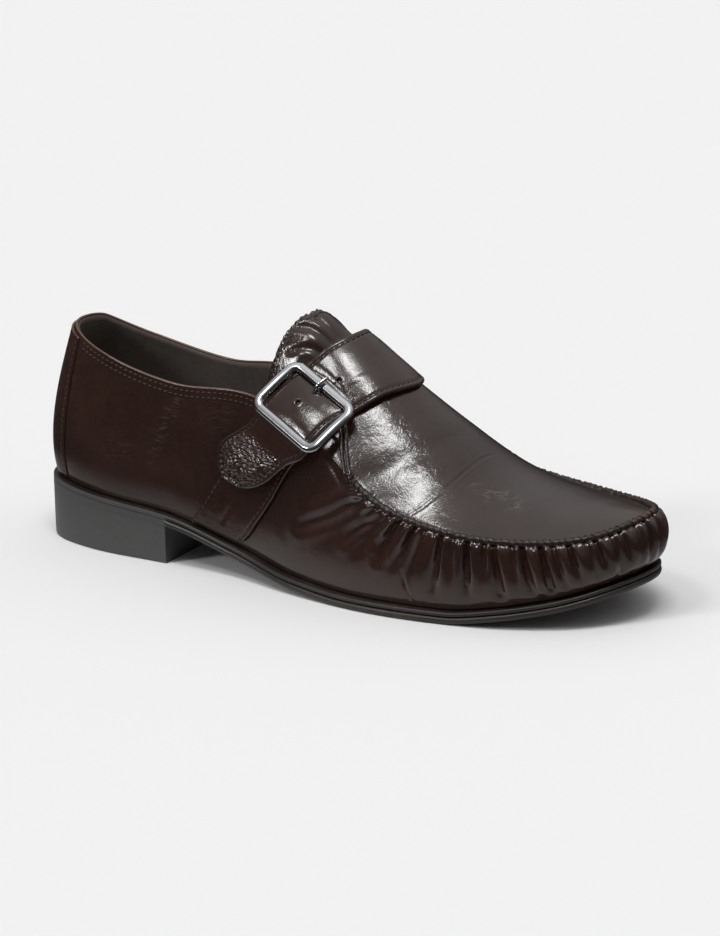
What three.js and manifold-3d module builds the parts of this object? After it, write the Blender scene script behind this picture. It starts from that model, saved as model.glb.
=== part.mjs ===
// Moccasin-toe shoe for the right foot, fastened by one buckled strap. Millimetres.
// +X runs to the toe, +Y to the inner side of the foot, +Z up. The shoe stands on z = 0.
import * as THREE from "three";
import Module from "manifold-3d";

const wasm = await Module();
wasm.setup();

// Thicknesses and clearances
const meetGap = 0.3;
const outsoleThick = 3.2;
const weltThick = 2.0;
const insoleThick = 2.2;
const wallThick = 2.0;
const featherMargin = 4.0;
const insoleClearance = 0.6;
const soleStack = outsoleThick + meetGap + weltThick + meetGap;

// Half sections of the last, from heel to toe. The sole edge runs through (xLat, yLat) on the outer side and
// (xMed, yMed) on the inner side. The topline stands inset from it at zLat and zMed. The wall swells by bulge.
const sectionColumns = ["xLat", "yLat", "xMed", "yMed", "inset", "zLat", "zMed", "bulge"];
const sections = {
  heelBack: [0, 0, 0, 0, 11.5, 99, 99, 4],
  heelCorner: [9, -22, 9, 22, 11.5, 97.5, 97.5, 4],
  heel: [36, -33, 36, 33, 10, 89, 88, 3],
  seat: [75, -35.5, 75, 34.5, 9, 80, 80, 2.5],
  waist: [112, -38.5, 112, 32.5, 12.5, 84, 84, 1.5],
  mid: [150, -48.5, 150, 38, 11, 71, 71, 2],
  ball: [188, -54, 190, 49.5, 7, 49, 50.5, 2.5],
  fore: [222, -52, 225, 53, 5.5, 40, 41.5, 3],
  toe: [255, -44.5, 257, 46.5, 4.5, 38, 39.5, 3.5],
  toeCorner: [284, -27.5, 285, 32.5, 4.5, 40, 41, 4.5],
  toeTip: [299, 3, 299, 3, 3.5, 45.5, 45.5, 5.5],
};

// Ridge of the instep and apron, from the waist section on. Power shapes the arch across: 2 is round.
const spineColumns = ["x", "z", "power"];
const spineRows = {
  waist: [118, 117.5, 1.5],
  mid: [160, 102, 1.55],
  ball: [199, 76.5, 1.8],
  fore: [228, 56, 2],
  toe: [252, 48.5, 2],
  toeCorner: [270, 46.5, 2],
  toeTip: [282, 46, 2],
};
const firstSpineRow = 4;
const spineY = 3;
const ridgeSoftness = 0.32;

// Underside of the outsole along the shoe: heel seat, arch, flat forefoot and toe spring
const soleProfileColumns = ["x", "z"];
const soleProfile = {
  heelBack: [0, 23.5],
  heelMiddle: [40, 20.3],
  breast: [75, 17.3],
  arch: [110, 9],
  waistFront: [145, 2.2],
  flatRear: [178, 0],
  flatFront: [222, 0],
  treadFront: [245, 3],
  toeRise: [270, 8],
  toeTip: [300, 17],
};

// Moccasin seam: a raised bead with the apron a little sunk beside it, fading out under the strap
const seam = { firstRow: 5.4, fullRow: 5.6, rise: 1.6, shoulderRise: 1.3, innerRise: 0.9, sink: 0.4 };
const throatRow = 5.25;
const wallSteps = [0, 0.1, 0.23, 0.37, 0.51, 0.65, 0.78, 0.89, 0.96, 1];
const apronSteps = [1, 0.96, 0.91, 0.8, 0.62, 0.42, 0.21, 0];
const columnsPerRow = 4;
const soleColumnsPerRow = 6;

// Each sole layer's edge, as inset from the sole edge and height above the layer's underside
const edgeColumns = ["inset", "height"];
const outsoleEdge = { tread: [1.4, 0], lower: [0, 0.9], upper: [0, 2.4], groove: [0.8, outsoleThick] };
const weltEdge = { groove: [0.9, 0], lower: [0.2, 0.5], upper: [0.2, 1.5], seat: [0.9, weltThick] };
const insoleInset = featherMargin + wallThick + insoleClearance;
const insoleEdge = { under: [insoleInset, 0], top: [insoleInset, insoleThick] };
const heelBlock = { breastRow: 3, columns: 20, footInset: 0.9, topInset: 0.3 };

// Strap sections from the inner side of the sole over the instep to the tab. A place on the shoe is a row
// and a girth: 2 inner sole, 1 inner topline, 0 ridge, -1 outer topline, -2 outer sole.
const strapColumns = ["girthRear", "rowRear", "girthFront", "rowFront", "lift"];
const strapSections = {
  medialSole: [1.97, 3.85, 1.97, 4.45, 0.8],
  medialWall: [1.45, 4.15, 1.45, 4.8, 0.8],
  medialTop: [1, 4.4, 1, 5.1, 1.3],
  medialInstep: [0.5, 4.58, 0.5, 5.38, 0.9],
  ridge: [0, 4.67, 0, 5.57, 1.1],
  lateralInstep: [-0.42, 4.63, -0.46, 5.36, 1.1],
  instepBar: [-0.66, 4.56, -0.69, 5.22, 1],
  centreBar: [-0.86, 4.45, -0.88, 5.13, 3.1],
  tabBar: [-1.1, 4.29, -1.13, 5.03, 5.2],
  tabNeck: [-1.22, 4.04, -1.28, 4.85, 4.6],
  tabBend: [-1.35, 3.82, -1.41, 4.67, 3.4],
  tabEnd: [-1.55, 3.7, -1.61, 4.5, 2.6],
};
const strap = { thick: 2, stepsPerSection: 3, across: 6, tabStart: 9.9, tabBlunt: 0.25 };

// Band on the outer side, from just short of the buckle's bar down to the sole
const bandColumns = ["girthRear", "rowRear", "girthFront", "rowFront", "lift"];
const bandSections = {
  barEnd: [-0.97, 4.39, -0.98, 5.1, 1.7],
  top: [-1.12, 4.22, -1.14, 4.96, 1.5],
  high: [-1.32, 3.95, -1.32, 4.72, 0.8],
  middle: [-1.58, 3.73, -1.58, 4.49, 0.6],
  low: [-1.8, 3.52, -1.8, 4.26, 0.6],
  sole: [-1.98, 3.37, -1.98, 4.08, 0.7],
};
const band = { thick: 1.4, stepsPerSection: 3, across: 6 };
const girthSmoothing = 0.14;

// Tongue from under the strap up to its rounded top, with its sides tucked inside the quarters
const tongue = {
  frontRow: 5.18, topRow: 4.12, steps: 12, across: 12, thick: 2,
  sideInset: 4.4, sideDrop: 7, roundFrom: 0.5, roundPower: 3, blunt: 0.93,
  flareFrom: 4.62, flareTo: 4.3, flare: 3.2, rounder: 0.9,
};

const backstay = { halfWidth: 1.3, lower: 0.03, upper: 0.97, across: 8, up: 8, lift: 0.6, thick: 1.1 };

// Buckle frame, bent a little round the instep, with a centre bar set back under the strap
const buckle = {
  row: 4.79, girth: -0.876, lift: 6.5, turnDeg: -1.6, tiltDeg: -11.5,
  width: 39.8, length: 27.9, barWidth: 4, barThick: 2.8, cornerRadius: 6.5, bendRadius: 110,
  cornerSteps: 6, sideSteps: 4, centreBarRadius: 1.1, centreBarDepth: 5.5, centreBarHalf: 17.6,
};
const prong = { across: -0.5, radius: 0.9, holeRadius: 2.1, holeAlong: 7.2, steps: 14, sides: 8 };
// The prong's line: along from the centre bar to the instep side, height from the frame's middle plane
const prongLine = {
  bar: [1.7, -5.5], under: [4.8, -5.2], hole: [7, -3], rise: [8.3, 0.6], over: [11, 2.7], tip: [15.6, 2.5],
};

const leatherBrown = { color: 0x2a1712, roughness: 0.32, metalness: 0 };
const finishes = {
  upperLeather: leatherBrown,
  strapLeather: { color: 0x301a14, roughness: 0.3, metalness: 0 },
  tongueLeather: { color: 0x2c1813, roughness: 0.34, metalness: 0 },
  soleLeather: { color: 0x17110f, roughness: 0.5, metalness: 0 },
  weltLeather: { color: 0x1f1613, roughness: 0.45, metalness: 0 },
  heelRubber: { color: 0x1b1a1b, roughness: 0.55, metalness: 0 },
  insoleLeather: { color: 0x1a1210, roughness: 0.7, metalness: 0 },
  polishedSteel: { color: 0xc9cbcf, roughness: 0.16, metalness: 1 },
};

// Curves through the tables
const pick = (table, columns, name) => Object.values(table).map((row) => row[columns.indexOf(name)]);

function cubic(p0, p1, p2, p3, f) {
  const bend = 2 * p0 - 5 * p1 + 4 * p2 - p3;
  const twist = 3 * p1 - p0 - 3 * p2 + p3;
  return 0.5 * (2 * p1 + (p2 - p0) * f + bend * f * f + twist * f * f * f);
}

function alongRing(values, u) {
  const count = values.length;
  const i = Math.floor(u);
  const at = (k) => values[(((i + k) % count) + count) % count];
  return cubic(at(-1), at(0), at(1), at(2), u - i);
}

function alongRows(values, position) {
  const last = values.length - 1;
  const i = Math.min(Math.max(Math.floor(position), 0), last - 1);
  const before = i > 0 ? values[i - 1] : 2 * values[0] - values[1];
  const after = i + 2 <= last ? values[i + 2] : 2 * values[last] - values[last - 1];
  return cubic(before, values[i], values[i + 1], after, position - i);
}

function smoothStep(from, to, value) {
  const f = Math.min(Math.max((value - from) / (to - from), 0), 1);
  return f * f * (3 - 2 * f);
}

// Underside of the outsole: a curve that never overshoots its rows, so the flat stays flat
const profileX = pick(soleProfile, soleProfileColumns, "x");
const profileZ = pick(soleProfile, soleProfileColumns, "z");
const profileSlope = profileX.map((x, i) => {
  if (i === 0 || i === profileX.length - 1) {
    const k = i === 0 ? 0 : i - 1;
    return (profileZ[k + 1] - profileZ[k]) / (profileX[k + 1] - profileX[k]);
  }
  const before = (profileZ[i] - profileZ[i - 1]) / (x - profileX[i - 1]);
  const after = (profileZ[i + 1] - profileZ[i]) / (profileX[i + 1] - x);
  return before * after <= 0 ? 0 : (2 * before * after) / (before + after);
});

function soleUnder(x) {
  let i = 0;
  while (i < profileX.length - 2 && x > profileX[i + 1]) i += 1;
  const span = profileX[i + 1] - profileX[i];
  const f = (x - profileX[i]) / span;
  const ease = f * f * (3 - 2 * f);
  const lead = f * (1 - f) * (1 - f) * profileSlope[i] - f * f * (1 - f) * profileSlope[i + 1];
  return profileZ[i] + ease * (profileZ[i + 1] - profileZ[i]) + span * lead;
}

// The last: a ring of sections runs from the heel along the outer side to the toe and back along the inner side
const toRing = (outer, inner) => [...outer, ...inner.slice(1, -1).reverse()];
const sectionRing = (outerName, innerName) =>
  toRing(pick(sections, sectionColumns, outerName), pick(sections, sectionColumns, innerName));
const ringX = sectionRing("xLat", "xMed");
const ringY = sectionRing("yLat", "yMed");
const ringInset = sectionRing("inset", "inset");
const ringTop = sectionRing("zLat", "zMed");
const ringBulge = sectionRing("bulge", "bulge");
const ringCount = ringX.length;
const toeRow = ringCount / 2;
const spineX = pick(spineRows, spineColumns, "x");
const spineZ = pick(spineRows, spineColumns, "z");
const spinePower = pick(spineRows, spineColumns, "power");

function soleEdge(u, inset) {
  const step = 1e-3;
  const dx = alongRing(ringX, u + step) - alongRing(ringX, u - step);
  const dy = alongRing(ringY, u + step) - alongRing(ringY, u - step);
  const outward = new THREE.Vector3(dy, -dx, 0).normalize();
  const point = new THREE.Vector3(alongRing(ringX, u), alongRing(ringY, u), 0).addScaledVector(outward, -inset);
  return { point, outward };
}

function topline(u) {
  const { point } = soleEdge(u, alongRing(ringInset, u));
  return point.setZ(alongRing(ringTop, u));
}

function wall(u, v) {
  const { point: foot, outward } = soleEdge(u, featherMargin);
  foot.z = soleUnder(foot.x) + soleStack;
  const top = topline(u);
  const swell = alongRing(ringBulge, u);
  const reach = 0.3 * (top.z - foot.z);
  const low = foot.clone().addScaledVector(outward, 1.6 * swell);
  low.z += reach;
  const high = top.clone().addScaledVector(outward, 1.3 * swell);
  high.z -= reach;
  return new THREE.CubicBezierCurve3(foot, low, high, top).getPoint(v);
}

function arch(t, power) {
  const rise = (value) => Math.pow(value * value + ridgeSoftness * ridgeSoftness, power / 2);
  return (rise(t) - rise(0)) / (rise(1) - rise(0));
}

function spine(row) {
  const position = row - firstSpineRow;
  return new THREE.Vector3(alongRows(spineX, position), spineY, alongRows(spineZ, position));
}

// The arch across the foot at a row, from t = -1 on the outer topline over the ridge to 1 on the inner one
function archTo(row, t, edge, rounder = 0) {
  const ridge = spine(row);
  const across = Math.abs(t);
  const fall = arch(across, alongRows(spinePower, row - firstSpineRow) + rounder);
  return new THREE.Vector3(
    ridge.x + (edge.x - ridge.x) * fall,
    ridge.y + (edge.y - ridge.y) * across,
    ridge.z + (edge.z - ridge.z) * fall,
  );
}

const apron = (row, t) => archTo(row, t, topline(t < 0 ? row : ringCount - row));

function girthPoint(row, girth) {
  if (girth <= -1) return wall(row, girth + 2);
  if (girth >= 1) return wall(ringCount - row, 2 - girth);
  return apron(row, girth);
}

// Line of a taut band over the shoe: the girth with its bend at the topline eased
function saddle(row, girth) {
  const sum = new THREE.Vector3();
  const offsets = [-1, -0.5, 0, 0.5, 1];
  offsets.forEach((offset) => sum.add(girthPoint(row, girth + offset * girthSmoothing)));
  return sum.divideScalar(offsets.length);
}

// Solids
function geometryFrom(points, faces) {
  const index = [];
  faces.forEach((face) => {
    const corners = face.filter((corner, i) => corner !== face[(i + 1) % face.length]);
    for (let i = 1; i + 1 < corners.length; i += 1) index.push(corners[0], corners[i], corners[i + 1]);
  });
  const geometry = new THREE.BufferGeometry();
  const flat = points.flatMap((point) => [point.x, point.y, point.z]);
  geometry.setAttribute("position", new THREE.Float32BufferAttribute(flat, 3));
  geometry.setIndex(index);
  return geometry;
}

// Loops stacked from the underside to the top. Both caps are ladders from the outer to the inner side.
function stackLoops(loops) {
  const count = loops[0].length;
  const points = loops.flat();
  const faces = [];
  for (let level = 0; level + 1 < loops.length; level += 1) {
    for (let k = 0; k < count; k += 1) {
      const next = (k + 1) % count;
      const low = level * count;
      const high = low + count;
      faces.push([low + k, low + next, high + next, high + k]);
    }
  }
  const top = (loops.length - 1) * count;
  for (let k = 0; k < Math.floor(count / 2); k += 1) {
    const rung = [k, k + 1, count - k - 1, (count - k) % count];
    faces.push(rung.map((corner) => top + corner));
    faces.push([...rung].reverse());
  }
  return geometryFrom(points, faces);
}

function soleLayer(edge, base) {
  const count = ringCount * soleColumnsPerRow;
  const insets = pick(edge, edgeColumns, "inset");
  const heights = pick(edge, edgeColumns, "height");
  const loops = insets.map((inset, level) =>
    Array.from({ length: count }, (_, k) => {
      const { point } = soleEdge(k / soleColumnsPerRow, inset);
      return point.setZ(soleUnder(point.x) + base + heights[level]);
    }));
  return stackLoops(loops);
}

function heelSolid() {
  const { breastRow, columns, footInset, topInset } = heelBlock;
  const rows = Array.from({ length: columns + 1 }, (_, k) => (breastRow * k) / columns);
  const around = [...rows, ...rows.slice(1).reverse().map((row) => ringCount - row)];
  const foot = around.map((u) => soleEdge(u, footInset).point);
  const top = around.map((u) => {
    const { point } = soleEdge(u, topInset);
    return point.setZ(soleUnder(point.x) - meetGap);
  });
  return stackLoops([foot, top]);
}

// A sheet of quads given a near and a far face along its own normals, with its free edges closed
function thickenSheet(points, quads, nearOffset, farOffset) {
  const normals = points.map(() => new THREE.Vector3());
  const edges = new Map();
  quads.forEach((quad) => {
    const [a, b, c, d] = quad.map((corner) => points[corner]);
    const normal = c.clone().sub(a).cross(d.clone().sub(b));
    quad.forEach((corner, i) => {
      normals[corner].add(normal);
      const next = quad[(i + 1) % 4];
      if (corner !== next) edges.set(`${corner},${next}`, [corner, next]);
    });
  });
  normals.forEach((normal) => normal.normalize());
  const count = points.length;
  const far = points.map((point, i) => point.clone().addScaledVector(normals[i], farOffset(i)));
  const near = points.map((point, i) => point.clone().addScaledVector(normals[i], nearOffset(i)));
  const faces = [];
  quads.forEach((quad) => {
    faces.push(quad);
    faces.push(quad.map((corner) => corner + count).reverse());
  });
  edges.forEach(([from, to]) => {
    if (!edges.has(`${to},${from}`)) faces.push([to, from, from + count, to + count]);
  });
  return geometryFrom([...far, ...near], faces);
}

function gridSheet(rowCount, columnCount, place) {
  const points = [];
  const quads = [];
  for (let i = 0; i <= rowCount; i += 1) {
    for (let k = 0; k <= columnCount; k += 1) points.push(place(i / rowCount, k / columnCount));
  }
  const at = (i, k) => i * (columnCount + 1) + k;
  for (let i = 0; i < rowCount; i += 1) {
    for (let k = 0; k < columnCount; k += 1) quads.push([at(i, k), at(i + 1, k), at(i + 1, k + 1), at(i, k + 1)]);
  }
  return { points, quads };
}

// Upper: the wall all round, and from the throat to the toe the apron, joined along the moccasin seam
function upperSolid() {
  const points = [];
  const rises = [];
  const quads = [];
  const columns = ringCount * columnsPerRow;
  const levels = wallSteps.length;
  const seamShare = (row) => smoothStep(seam.firstRow, seam.fullRow, row);
  const foldRow = (u) => (u > toeRow ? ringCount - u : u);
  for (let k = 0; k < columns; k += 1) {
    const u = k / columnsPerRow;
    wallSteps.forEach((v, level) => {
      const rise = [seam.rise, seam.shoulderRise][levels - 1 - level] ?? 0;
      points.push(wall(u, v));
      rises.push(rise * seamShare(foldRow(u)));
    });
  }
  const wallIndex = (k, level) => ((k + columns) % columns) * levels + level;
  for (let k = 0; k < columns; k += 1) {
    for (let level = 0; level + 1 < levels; level += 1) {
      quads.push([wallIndex(k, level), wallIndex(k + 1, level), wallIndex(k + 1, level + 1), wallIndex(k, level + 1)]);
    }
  }
  const firstColumn = Math.round(throatRow * columnsPerRow);
  const toeColumn = toeRow * columnsPerRow;
  const across = [...apronSteps.map((t) => -t), ...apronSteps.slice(0, -1).reverse()];
  const lanes = across.length - 1;
  const apronIndex = new Map();
  for (let k = firstColumn; k <= toeColumn; k += 1) {
    const row = k / columnsPerRow;
    across.forEach((t, lane) => {
      const key = `${k},${lane}`;
      if (lane === 0) apronIndex.set(key, wallIndex(k, levels - 1));
      else if (lane === lanes) apronIndex.set(key, wallIndex(columns - k, levels - 1));
      else if (k === toeColumn && t > 0) apronIndex.set(key, apronIndex.get(`${k},${lanes - lane}`));
      else {
        const fromSeam = Math.min(lane, lanes - lane);
        const rise = [0, seam.innerRise, -seam.sink][fromSeam] ?? 0;
        apronIndex.set(key, points.length);
        points.push(apron(row, t));
        rises.push(rise * seamShare(row));
      }
    });
  }
  for (let k = firstColumn; k < toeColumn; k += 1) {
    for (let lane = 0; lane < lanes; lane += 1) {
      const corners = [[k, lane], [k + 1, lane], [k + 1, lane + 1], [k, lane + 1]];
      quads.push(corners.map((corner) => apronIndex.get(corner.join(","))));
    }
  }
  return thickenSheet(points, quads, () => -wallThick, (i) => rises[i]);
}

// A band laid over the shoe along its table of sections, rear edge to front edge
function bandSheet(table, columns, shape, widthShare) {
  const lists = Object.fromEntries(columns.map((name) => [name, pick(table, columns, name)]));
  const last = lists.lift.length - 1;
  const lifts = [];
  const sheet = gridSheet(last * shape.stepsPerSection, shape.across, (along, side) => {
    const position = along * last;
    const share = 0.5 + (side - 0.5) * widthShare(position, last);
    const between = (rear, front) => {
      const edge = alongRows(lists[rear], position);
      return edge + (alongRows(lists[front], position) - edge) * share;
    };
    lifts.push(alongRows(lists.lift, position));
    return saddle(between("rowRear", "rowFront"), between("girthRear", "girthFront"));
  });
  return thickenSheet(sheet.points, sheet.quads, (i) => lifts[i], (i) => lifts[i] + shape.thick);
}

function tabShare(position, last) {
  if (position <= strap.tabStart) return 1;
  const reach = (1 - strap.tabBlunt * strap.tabBlunt) ** 0.5;
  const f = (reach * (position - strap.tabStart)) / (last - strap.tabStart);
  return (1 - f * f) ** 0.5;
}

function tongueSolid() {
  const lifts = [];
  const sheet = gridSheet(tongue.steps, tongue.across, (along, side) => {
    const row = tongue.topRow + (tongue.frontRow - tongue.topRow) * along;
    const toTop = Math.max(0, (1 - along - tongue.roundFrom) / (1 - tongue.roundFrom)) * tongue.blunt;
    const t = (2 * side - 1) * (1 - toTop ** tongue.roundPower) ** 0.5;
    const u = t < 0 ? row : ringCount - row;
    const edge = soleEdge(u, alongRing(ringInset, u) + tongue.sideInset).point;
    edge.z = topline(u).z - tongue.sideDrop;
    const flareShare = smoothStep(tongue.flareFrom, tongue.flareTo, row);
    lifts.push(tongue.flare * flareShare);
    return archTo(row, t, edge, tongue.rounder * flareShare);
  });
  return thickenSheet(sheet.points, sheet.quads, (i) => lifts[i] - tongue.thick, (i) => lifts[i]);
}

function backstaySolid() {
  const { halfWidth, lower, upper, lift, thick } = backstay;
  const sheet = gridSheet(backstay.across, backstay.up, (side, height) =>
    wall((2 * side - 1) * halfWidth, lower + (upper - lower) * height));
  return thickenSheet(sheet.points, sheet.quads, () => lift, () => lift + thick);
}

// The buckle's own frame on the strap: across the strap, along it towards the instep, and out from the foot
function buckleAxes() {
  const step = 0.02;
  const { row, girth } = buckle;
  const forward = saddle(row + step, girth).sub(saddle(row - step, girth)).normalize();
  const upward = saddle(row, girth + step).sub(saddle(row, girth - step)).normalize();
  const out = forward.clone().cross(upward).normalize();
  const centre = saddle(row, girth).addScaledVector(out, buckle.lift);
  const across = forward.applyAxisAngle(out, THREE.MathUtils.degToRad(buckle.turnDeg));
  const along = out.clone().cross(across);
  const tilt = THREE.MathUtils.degToRad(buckle.tiltDeg);
  along.applyAxisAngle(across, tilt);
  out.applyAxisAngle(across, tilt);
  return { centre, across, along, out };
}
const buckleFrame = buckleAxes();

function onBuckle(x, y, height) {
  const { centre, across, along, out } = buckleFrame;
  const angle = y / buckle.bendRadius;
  const radius = buckle.bendRadius + height;
  return centre.clone()
    .addScaledVector(across, x)
    .addScaledVector(along, radius * Math.sin(angle))
    .addScaledVector(out, radius * Math.cos(angle) - buckle.bendRadius);
}

// A round bar along a line of points, closed at both ends
function roundBar(line, radius, sides, place) {
  const points = [];
  const faces = [];
  line.forEach((centre, i) => {
    const ahead = line[Math.min(i + 1, line.length - 1)];
    const behind = line[Math.max(i - 1, 0)];
    const tangent = ahead.clone().sub(behind).normalize();
    const sideways = new THREE.Vector3(0, 0, 1).cross(tangent);
    if (sideways.lengthSq() < 1e-6) sideways.set(1, 0, 0);
    sideways.normalize();
    const upright = tangent.clone().cross(sideways);
    for (let k = 0; k < sides; k += 1) {
      const angle = (2 * Math.PI * k) / sides;
      const offset = sideways.clone().multiplyScalar(Math.cos(angle)).addScaledVector(upright, Math.sin(angle));
      points.push(place(centre.clone().addScaledVector(offset, radius)));
    }
  });
  for (let i = 0; i + 1 < line.length; i += 1) {
    for (let k = 0; k < sides; k += 1) {
      const next = (k + 1) % sides;
      faces.push([i * sides + k, i * sides + next, (i + 1) * sides + next, (i + 1) * sides + k]);
    }
  }
  const endBase = (line.length - 1) * sides;
  faces.push(Array.from({ length: sides }, (_, k) => sides - 1 - k));
  faces.push(Array.from({ length: sides }, (_, k) => endBase + k));
  return geometryFrom(points, faces);
}

const placeOnBuckle = (point) => onBuckle(point.x, point.y, point.z);

function toManifold(geometry) {
  const vertProperties = new Float32Array(geometry.getAttribute("position").array);
  const triVerts = new Uint32Array(geometry.getIndex().array);
  return new wasm.Manifold(new wasm.Mesh({ numProp: 3, vertProperties, triVerts }));
}

function fromManifold(solid) {
  const mesh = solid.getMesh();
  const geometry = new THREE.BufferGeometry();
  geometry.setAttribute("position", new THREE.Float32BufferAttribute(mesh.vertProperties, 3));
  geometry.setIndex(Array.from(mesh.triVerts));
  return geometry;
}

// Rounded rectangle with even steps round each corner and along each side, as points with outward directions
function frameLoop() {
  const { width, length, cornerRadius, cornerSteps, sideSteps } = buckle;
  const corners = [[1, 1, 0], [-1, 1, 1], [-1, -1, 2], [1, -1, 3]];
  const loop = [];
  corners.forEach(([signX, signY, quarter], c) => {
    const centreOf = ([sx, sy]) =>
      new THREE.Vector2(sx * (width / 2 - cornerRadius), sy * (length / 2 - cornerRadius));
    const centre = centreOf([signX, signY]);
    for (let i = 0; i <= cornerSteps; i += 1) {
      const angle = (quarter + i / cornerSteps) * (Math.PI / 2);
      loop.push({ centre: centre.clone(), out: new THREE.Vector2(Math.cos(angle), Math.sin(angle)) });
    }
    const following = centreOf(corners[(c + 1) % 4]);
    const sideOut = loop[loop.length - 1].out;
    for (let i = 1; i < sideSteps; i += 1) {
      loop.push({ centre: centre.clone().lerp(following, i / sideSteps), out: sideOut.clone() });
    }
  });
  return loop;
}

function buckleSolid() {
  const { cornerRadius, barWidth, barThick, centreBarRadius, centreBarDepth, centreBarHalf } = buckle;
  const half = barThick / 2;
  // The bar's section: distance inside the outer edge and height, flat beneath and crowned on top
  const section = [[0, -0.4 * half], [0.5, -half], [barWidth - 0.5, -half], [barWidth, -0.4 * half],
    [barWidth, 0.3 * half], [0.72 * barWidth, half], [0.28 * barWidth, half], [0, 0.3 * half]];
  const loop = frameLoop();
  const sides = section.length;
  const points = loop.flatMap(({ centre, out }) => section.map(([inside, height]) => {
    const reach = cornerRadius - inside;
    return onBuckle(centre.x + out.x * reach, centre.y + out.y * reach, height);
  }));
  const faces = [];
  loop.forEach((_, i) => {
    const next = (i + 1) % loop.length;
    section.forEach((__, k) => {
      const beside = (k + 1) % sides;
      faces.push([i * sides + k, i * sides + beside, next * sides + beside, next * sides + k]);
    });
  });
  const depth = -centreBarDepth;
  const staple = [[-centreBarHalf, 0], [-centreBarHalf, 0.55 * depth], [-0.93 * centreBarHalf, 0.9 * depth],
    [-0.85 * centreBarHalf, depth], [0.85 * centreBarHalf, depth], [0.93 * centreBarHalf, 0.9 * depth],
    [centreBarHalf, 0.55 * depth], [centreBarHalf, 0]];
  const line = staple.map(([x, height]) => new THREE.Vector3(x, 0, height));
  const bar = roundBar(line, centreBarRadius, 8, placeOnBuckle);
  return fromManifold(toManifold(geometryFrom(points, faces)).add(toManifold(bar)));
}

function prongSolid() {
  const stops = Object.values(prongLine).map(([y, height]) => new THREE.Vector3(prong.across, y, height));
  const line = new THREE.CatmullRomCurve3(stops, false, "centripetal").getPoints(prong.steps);
  return roundBar(line, prong.radius, prong.sides, placeOnBuckle);
}

function strapSolid() {
  const whole = bandSheet(strapSections, strapColumns, strap, tabShare);
  const { across, holeAlong, holeRadius } = prong;
  const drill = [-8, 1].map((height) => new THREE.Vector3(across, holeAlong, height));
  return fromManifold(toManifold(whole).subtract(toManifold(roundBar(drill, holeRadius, 12, placeOnBuckle))));
}

// The shoe, moved so that its box stands centred over the origin
const pieces = {
  outsole: [soleLayer(outsoleEdge, 0), "soleLeather"],
  welt: [soleLayer(weltEdge, outsoleThick + meetGap), "weltLeather"],
  heel: [heelSolid(), "heelRubber"],
  insole: [soleLayer(insoleEdge, soleStack), "insoleLeather"],
  upper: [upperSolid(), "upperLeather"],
  tongue: [tongueSolid(), "tongueLeather"],
  strap: [strapSolid(), "strapLeather"],
  lateral_band: [bandSheet(bandSections, bandColumns, band, () => 1), "upperLeather"],
  backstay: [backstaySolid(), "upperLeather"],
  buckle: [buckleSolid(), "polishedSteel"],
  buckle_prong: [prongSolid(), "polishedSteel"],
};

const shoe = new THREE.Group();
Object.entries(pieces).forEach(([name, [geometry, finish]]) => {
  const mesh = new THREE.Mesh(geometry, new THREE.MeshStandardMaterial(finishes[finish]));
  mesh.name = name;
  shoe.add(mesh);
});
const box = new THREE.Box3().setFromObject(shoe);
const middle = box.getCenter(new THREE.Vector3());
shoe.position.set(-middle.x, -middle.y, -box.min.z);

export default shoe;
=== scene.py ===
import math

import bmesh
import bpy
import numpy as np
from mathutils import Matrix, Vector


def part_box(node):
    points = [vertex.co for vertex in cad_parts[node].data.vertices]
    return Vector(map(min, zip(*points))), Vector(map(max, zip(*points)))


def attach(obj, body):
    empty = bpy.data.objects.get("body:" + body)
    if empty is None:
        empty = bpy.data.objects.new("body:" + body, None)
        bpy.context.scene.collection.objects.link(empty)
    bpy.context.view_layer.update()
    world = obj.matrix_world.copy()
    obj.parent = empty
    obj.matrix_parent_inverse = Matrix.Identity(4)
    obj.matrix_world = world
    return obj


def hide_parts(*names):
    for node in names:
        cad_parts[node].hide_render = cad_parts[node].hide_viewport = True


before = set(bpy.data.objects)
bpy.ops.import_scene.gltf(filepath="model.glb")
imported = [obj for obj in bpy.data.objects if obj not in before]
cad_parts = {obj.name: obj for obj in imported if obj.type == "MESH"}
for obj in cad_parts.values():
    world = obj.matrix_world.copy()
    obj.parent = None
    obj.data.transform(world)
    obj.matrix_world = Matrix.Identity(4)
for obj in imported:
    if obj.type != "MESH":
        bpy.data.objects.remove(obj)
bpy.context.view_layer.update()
print("frame loaded")

# The last, in millimetres from the back of the heel, as in the part's source
lastSections = {  # xLat, yLat, xMed, yMed, inset, zLat, zMed, bulge
    "heelBack": (0, 0, 0, 0, 11.5, 99, 99, 4),
    "heelCorner": (9, -22, 9, 22, 11.5, 97.5, 97.5, 4),
    "heel": (36, -33, 36, 33, 10, 90, 88.5, 3),
    "seat": (75, -35.5, 75, 34.5, 9, 82.2, 81.2, 2.5),
    "waist": (112, -38.5, 112, 32.5, 12.5, 82, 84, 1.5),
    "mid": (150, -48.5, 150, 38, 11, 71, 71, 2),
    "ball": (188, -54, 190, 49.5, 7, 49, 50.5, 2.5),
    "fore": (222, -52, 225, 53, 5.5, 40, 41.5, 3),
    "toe": (255, -44.5, 257, 46.5, 4.5, 38, 39.5, 3.5),
    "toeCorner": (284, -27.5, 285, 32.5, 4.5, 40, 41, 4.5),
    "toeTip": (299, 3, 299, 3, 3.5, 45.5, 45.5, 5.5),
}
ridgeRows = {  # x, z, power of the arch across
    "waist": (118, 117.5, 1.5),
    "mid": (160, 102, 1.55),
    "ball": (199, 76.5, 1.8),
    "fore": (228, 56, 2),
    "toe": (252, 48.5, 2),
    "toeCorner": (270, 46.5, 2),
    "toeTip": (282, 46, 2),
}
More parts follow.
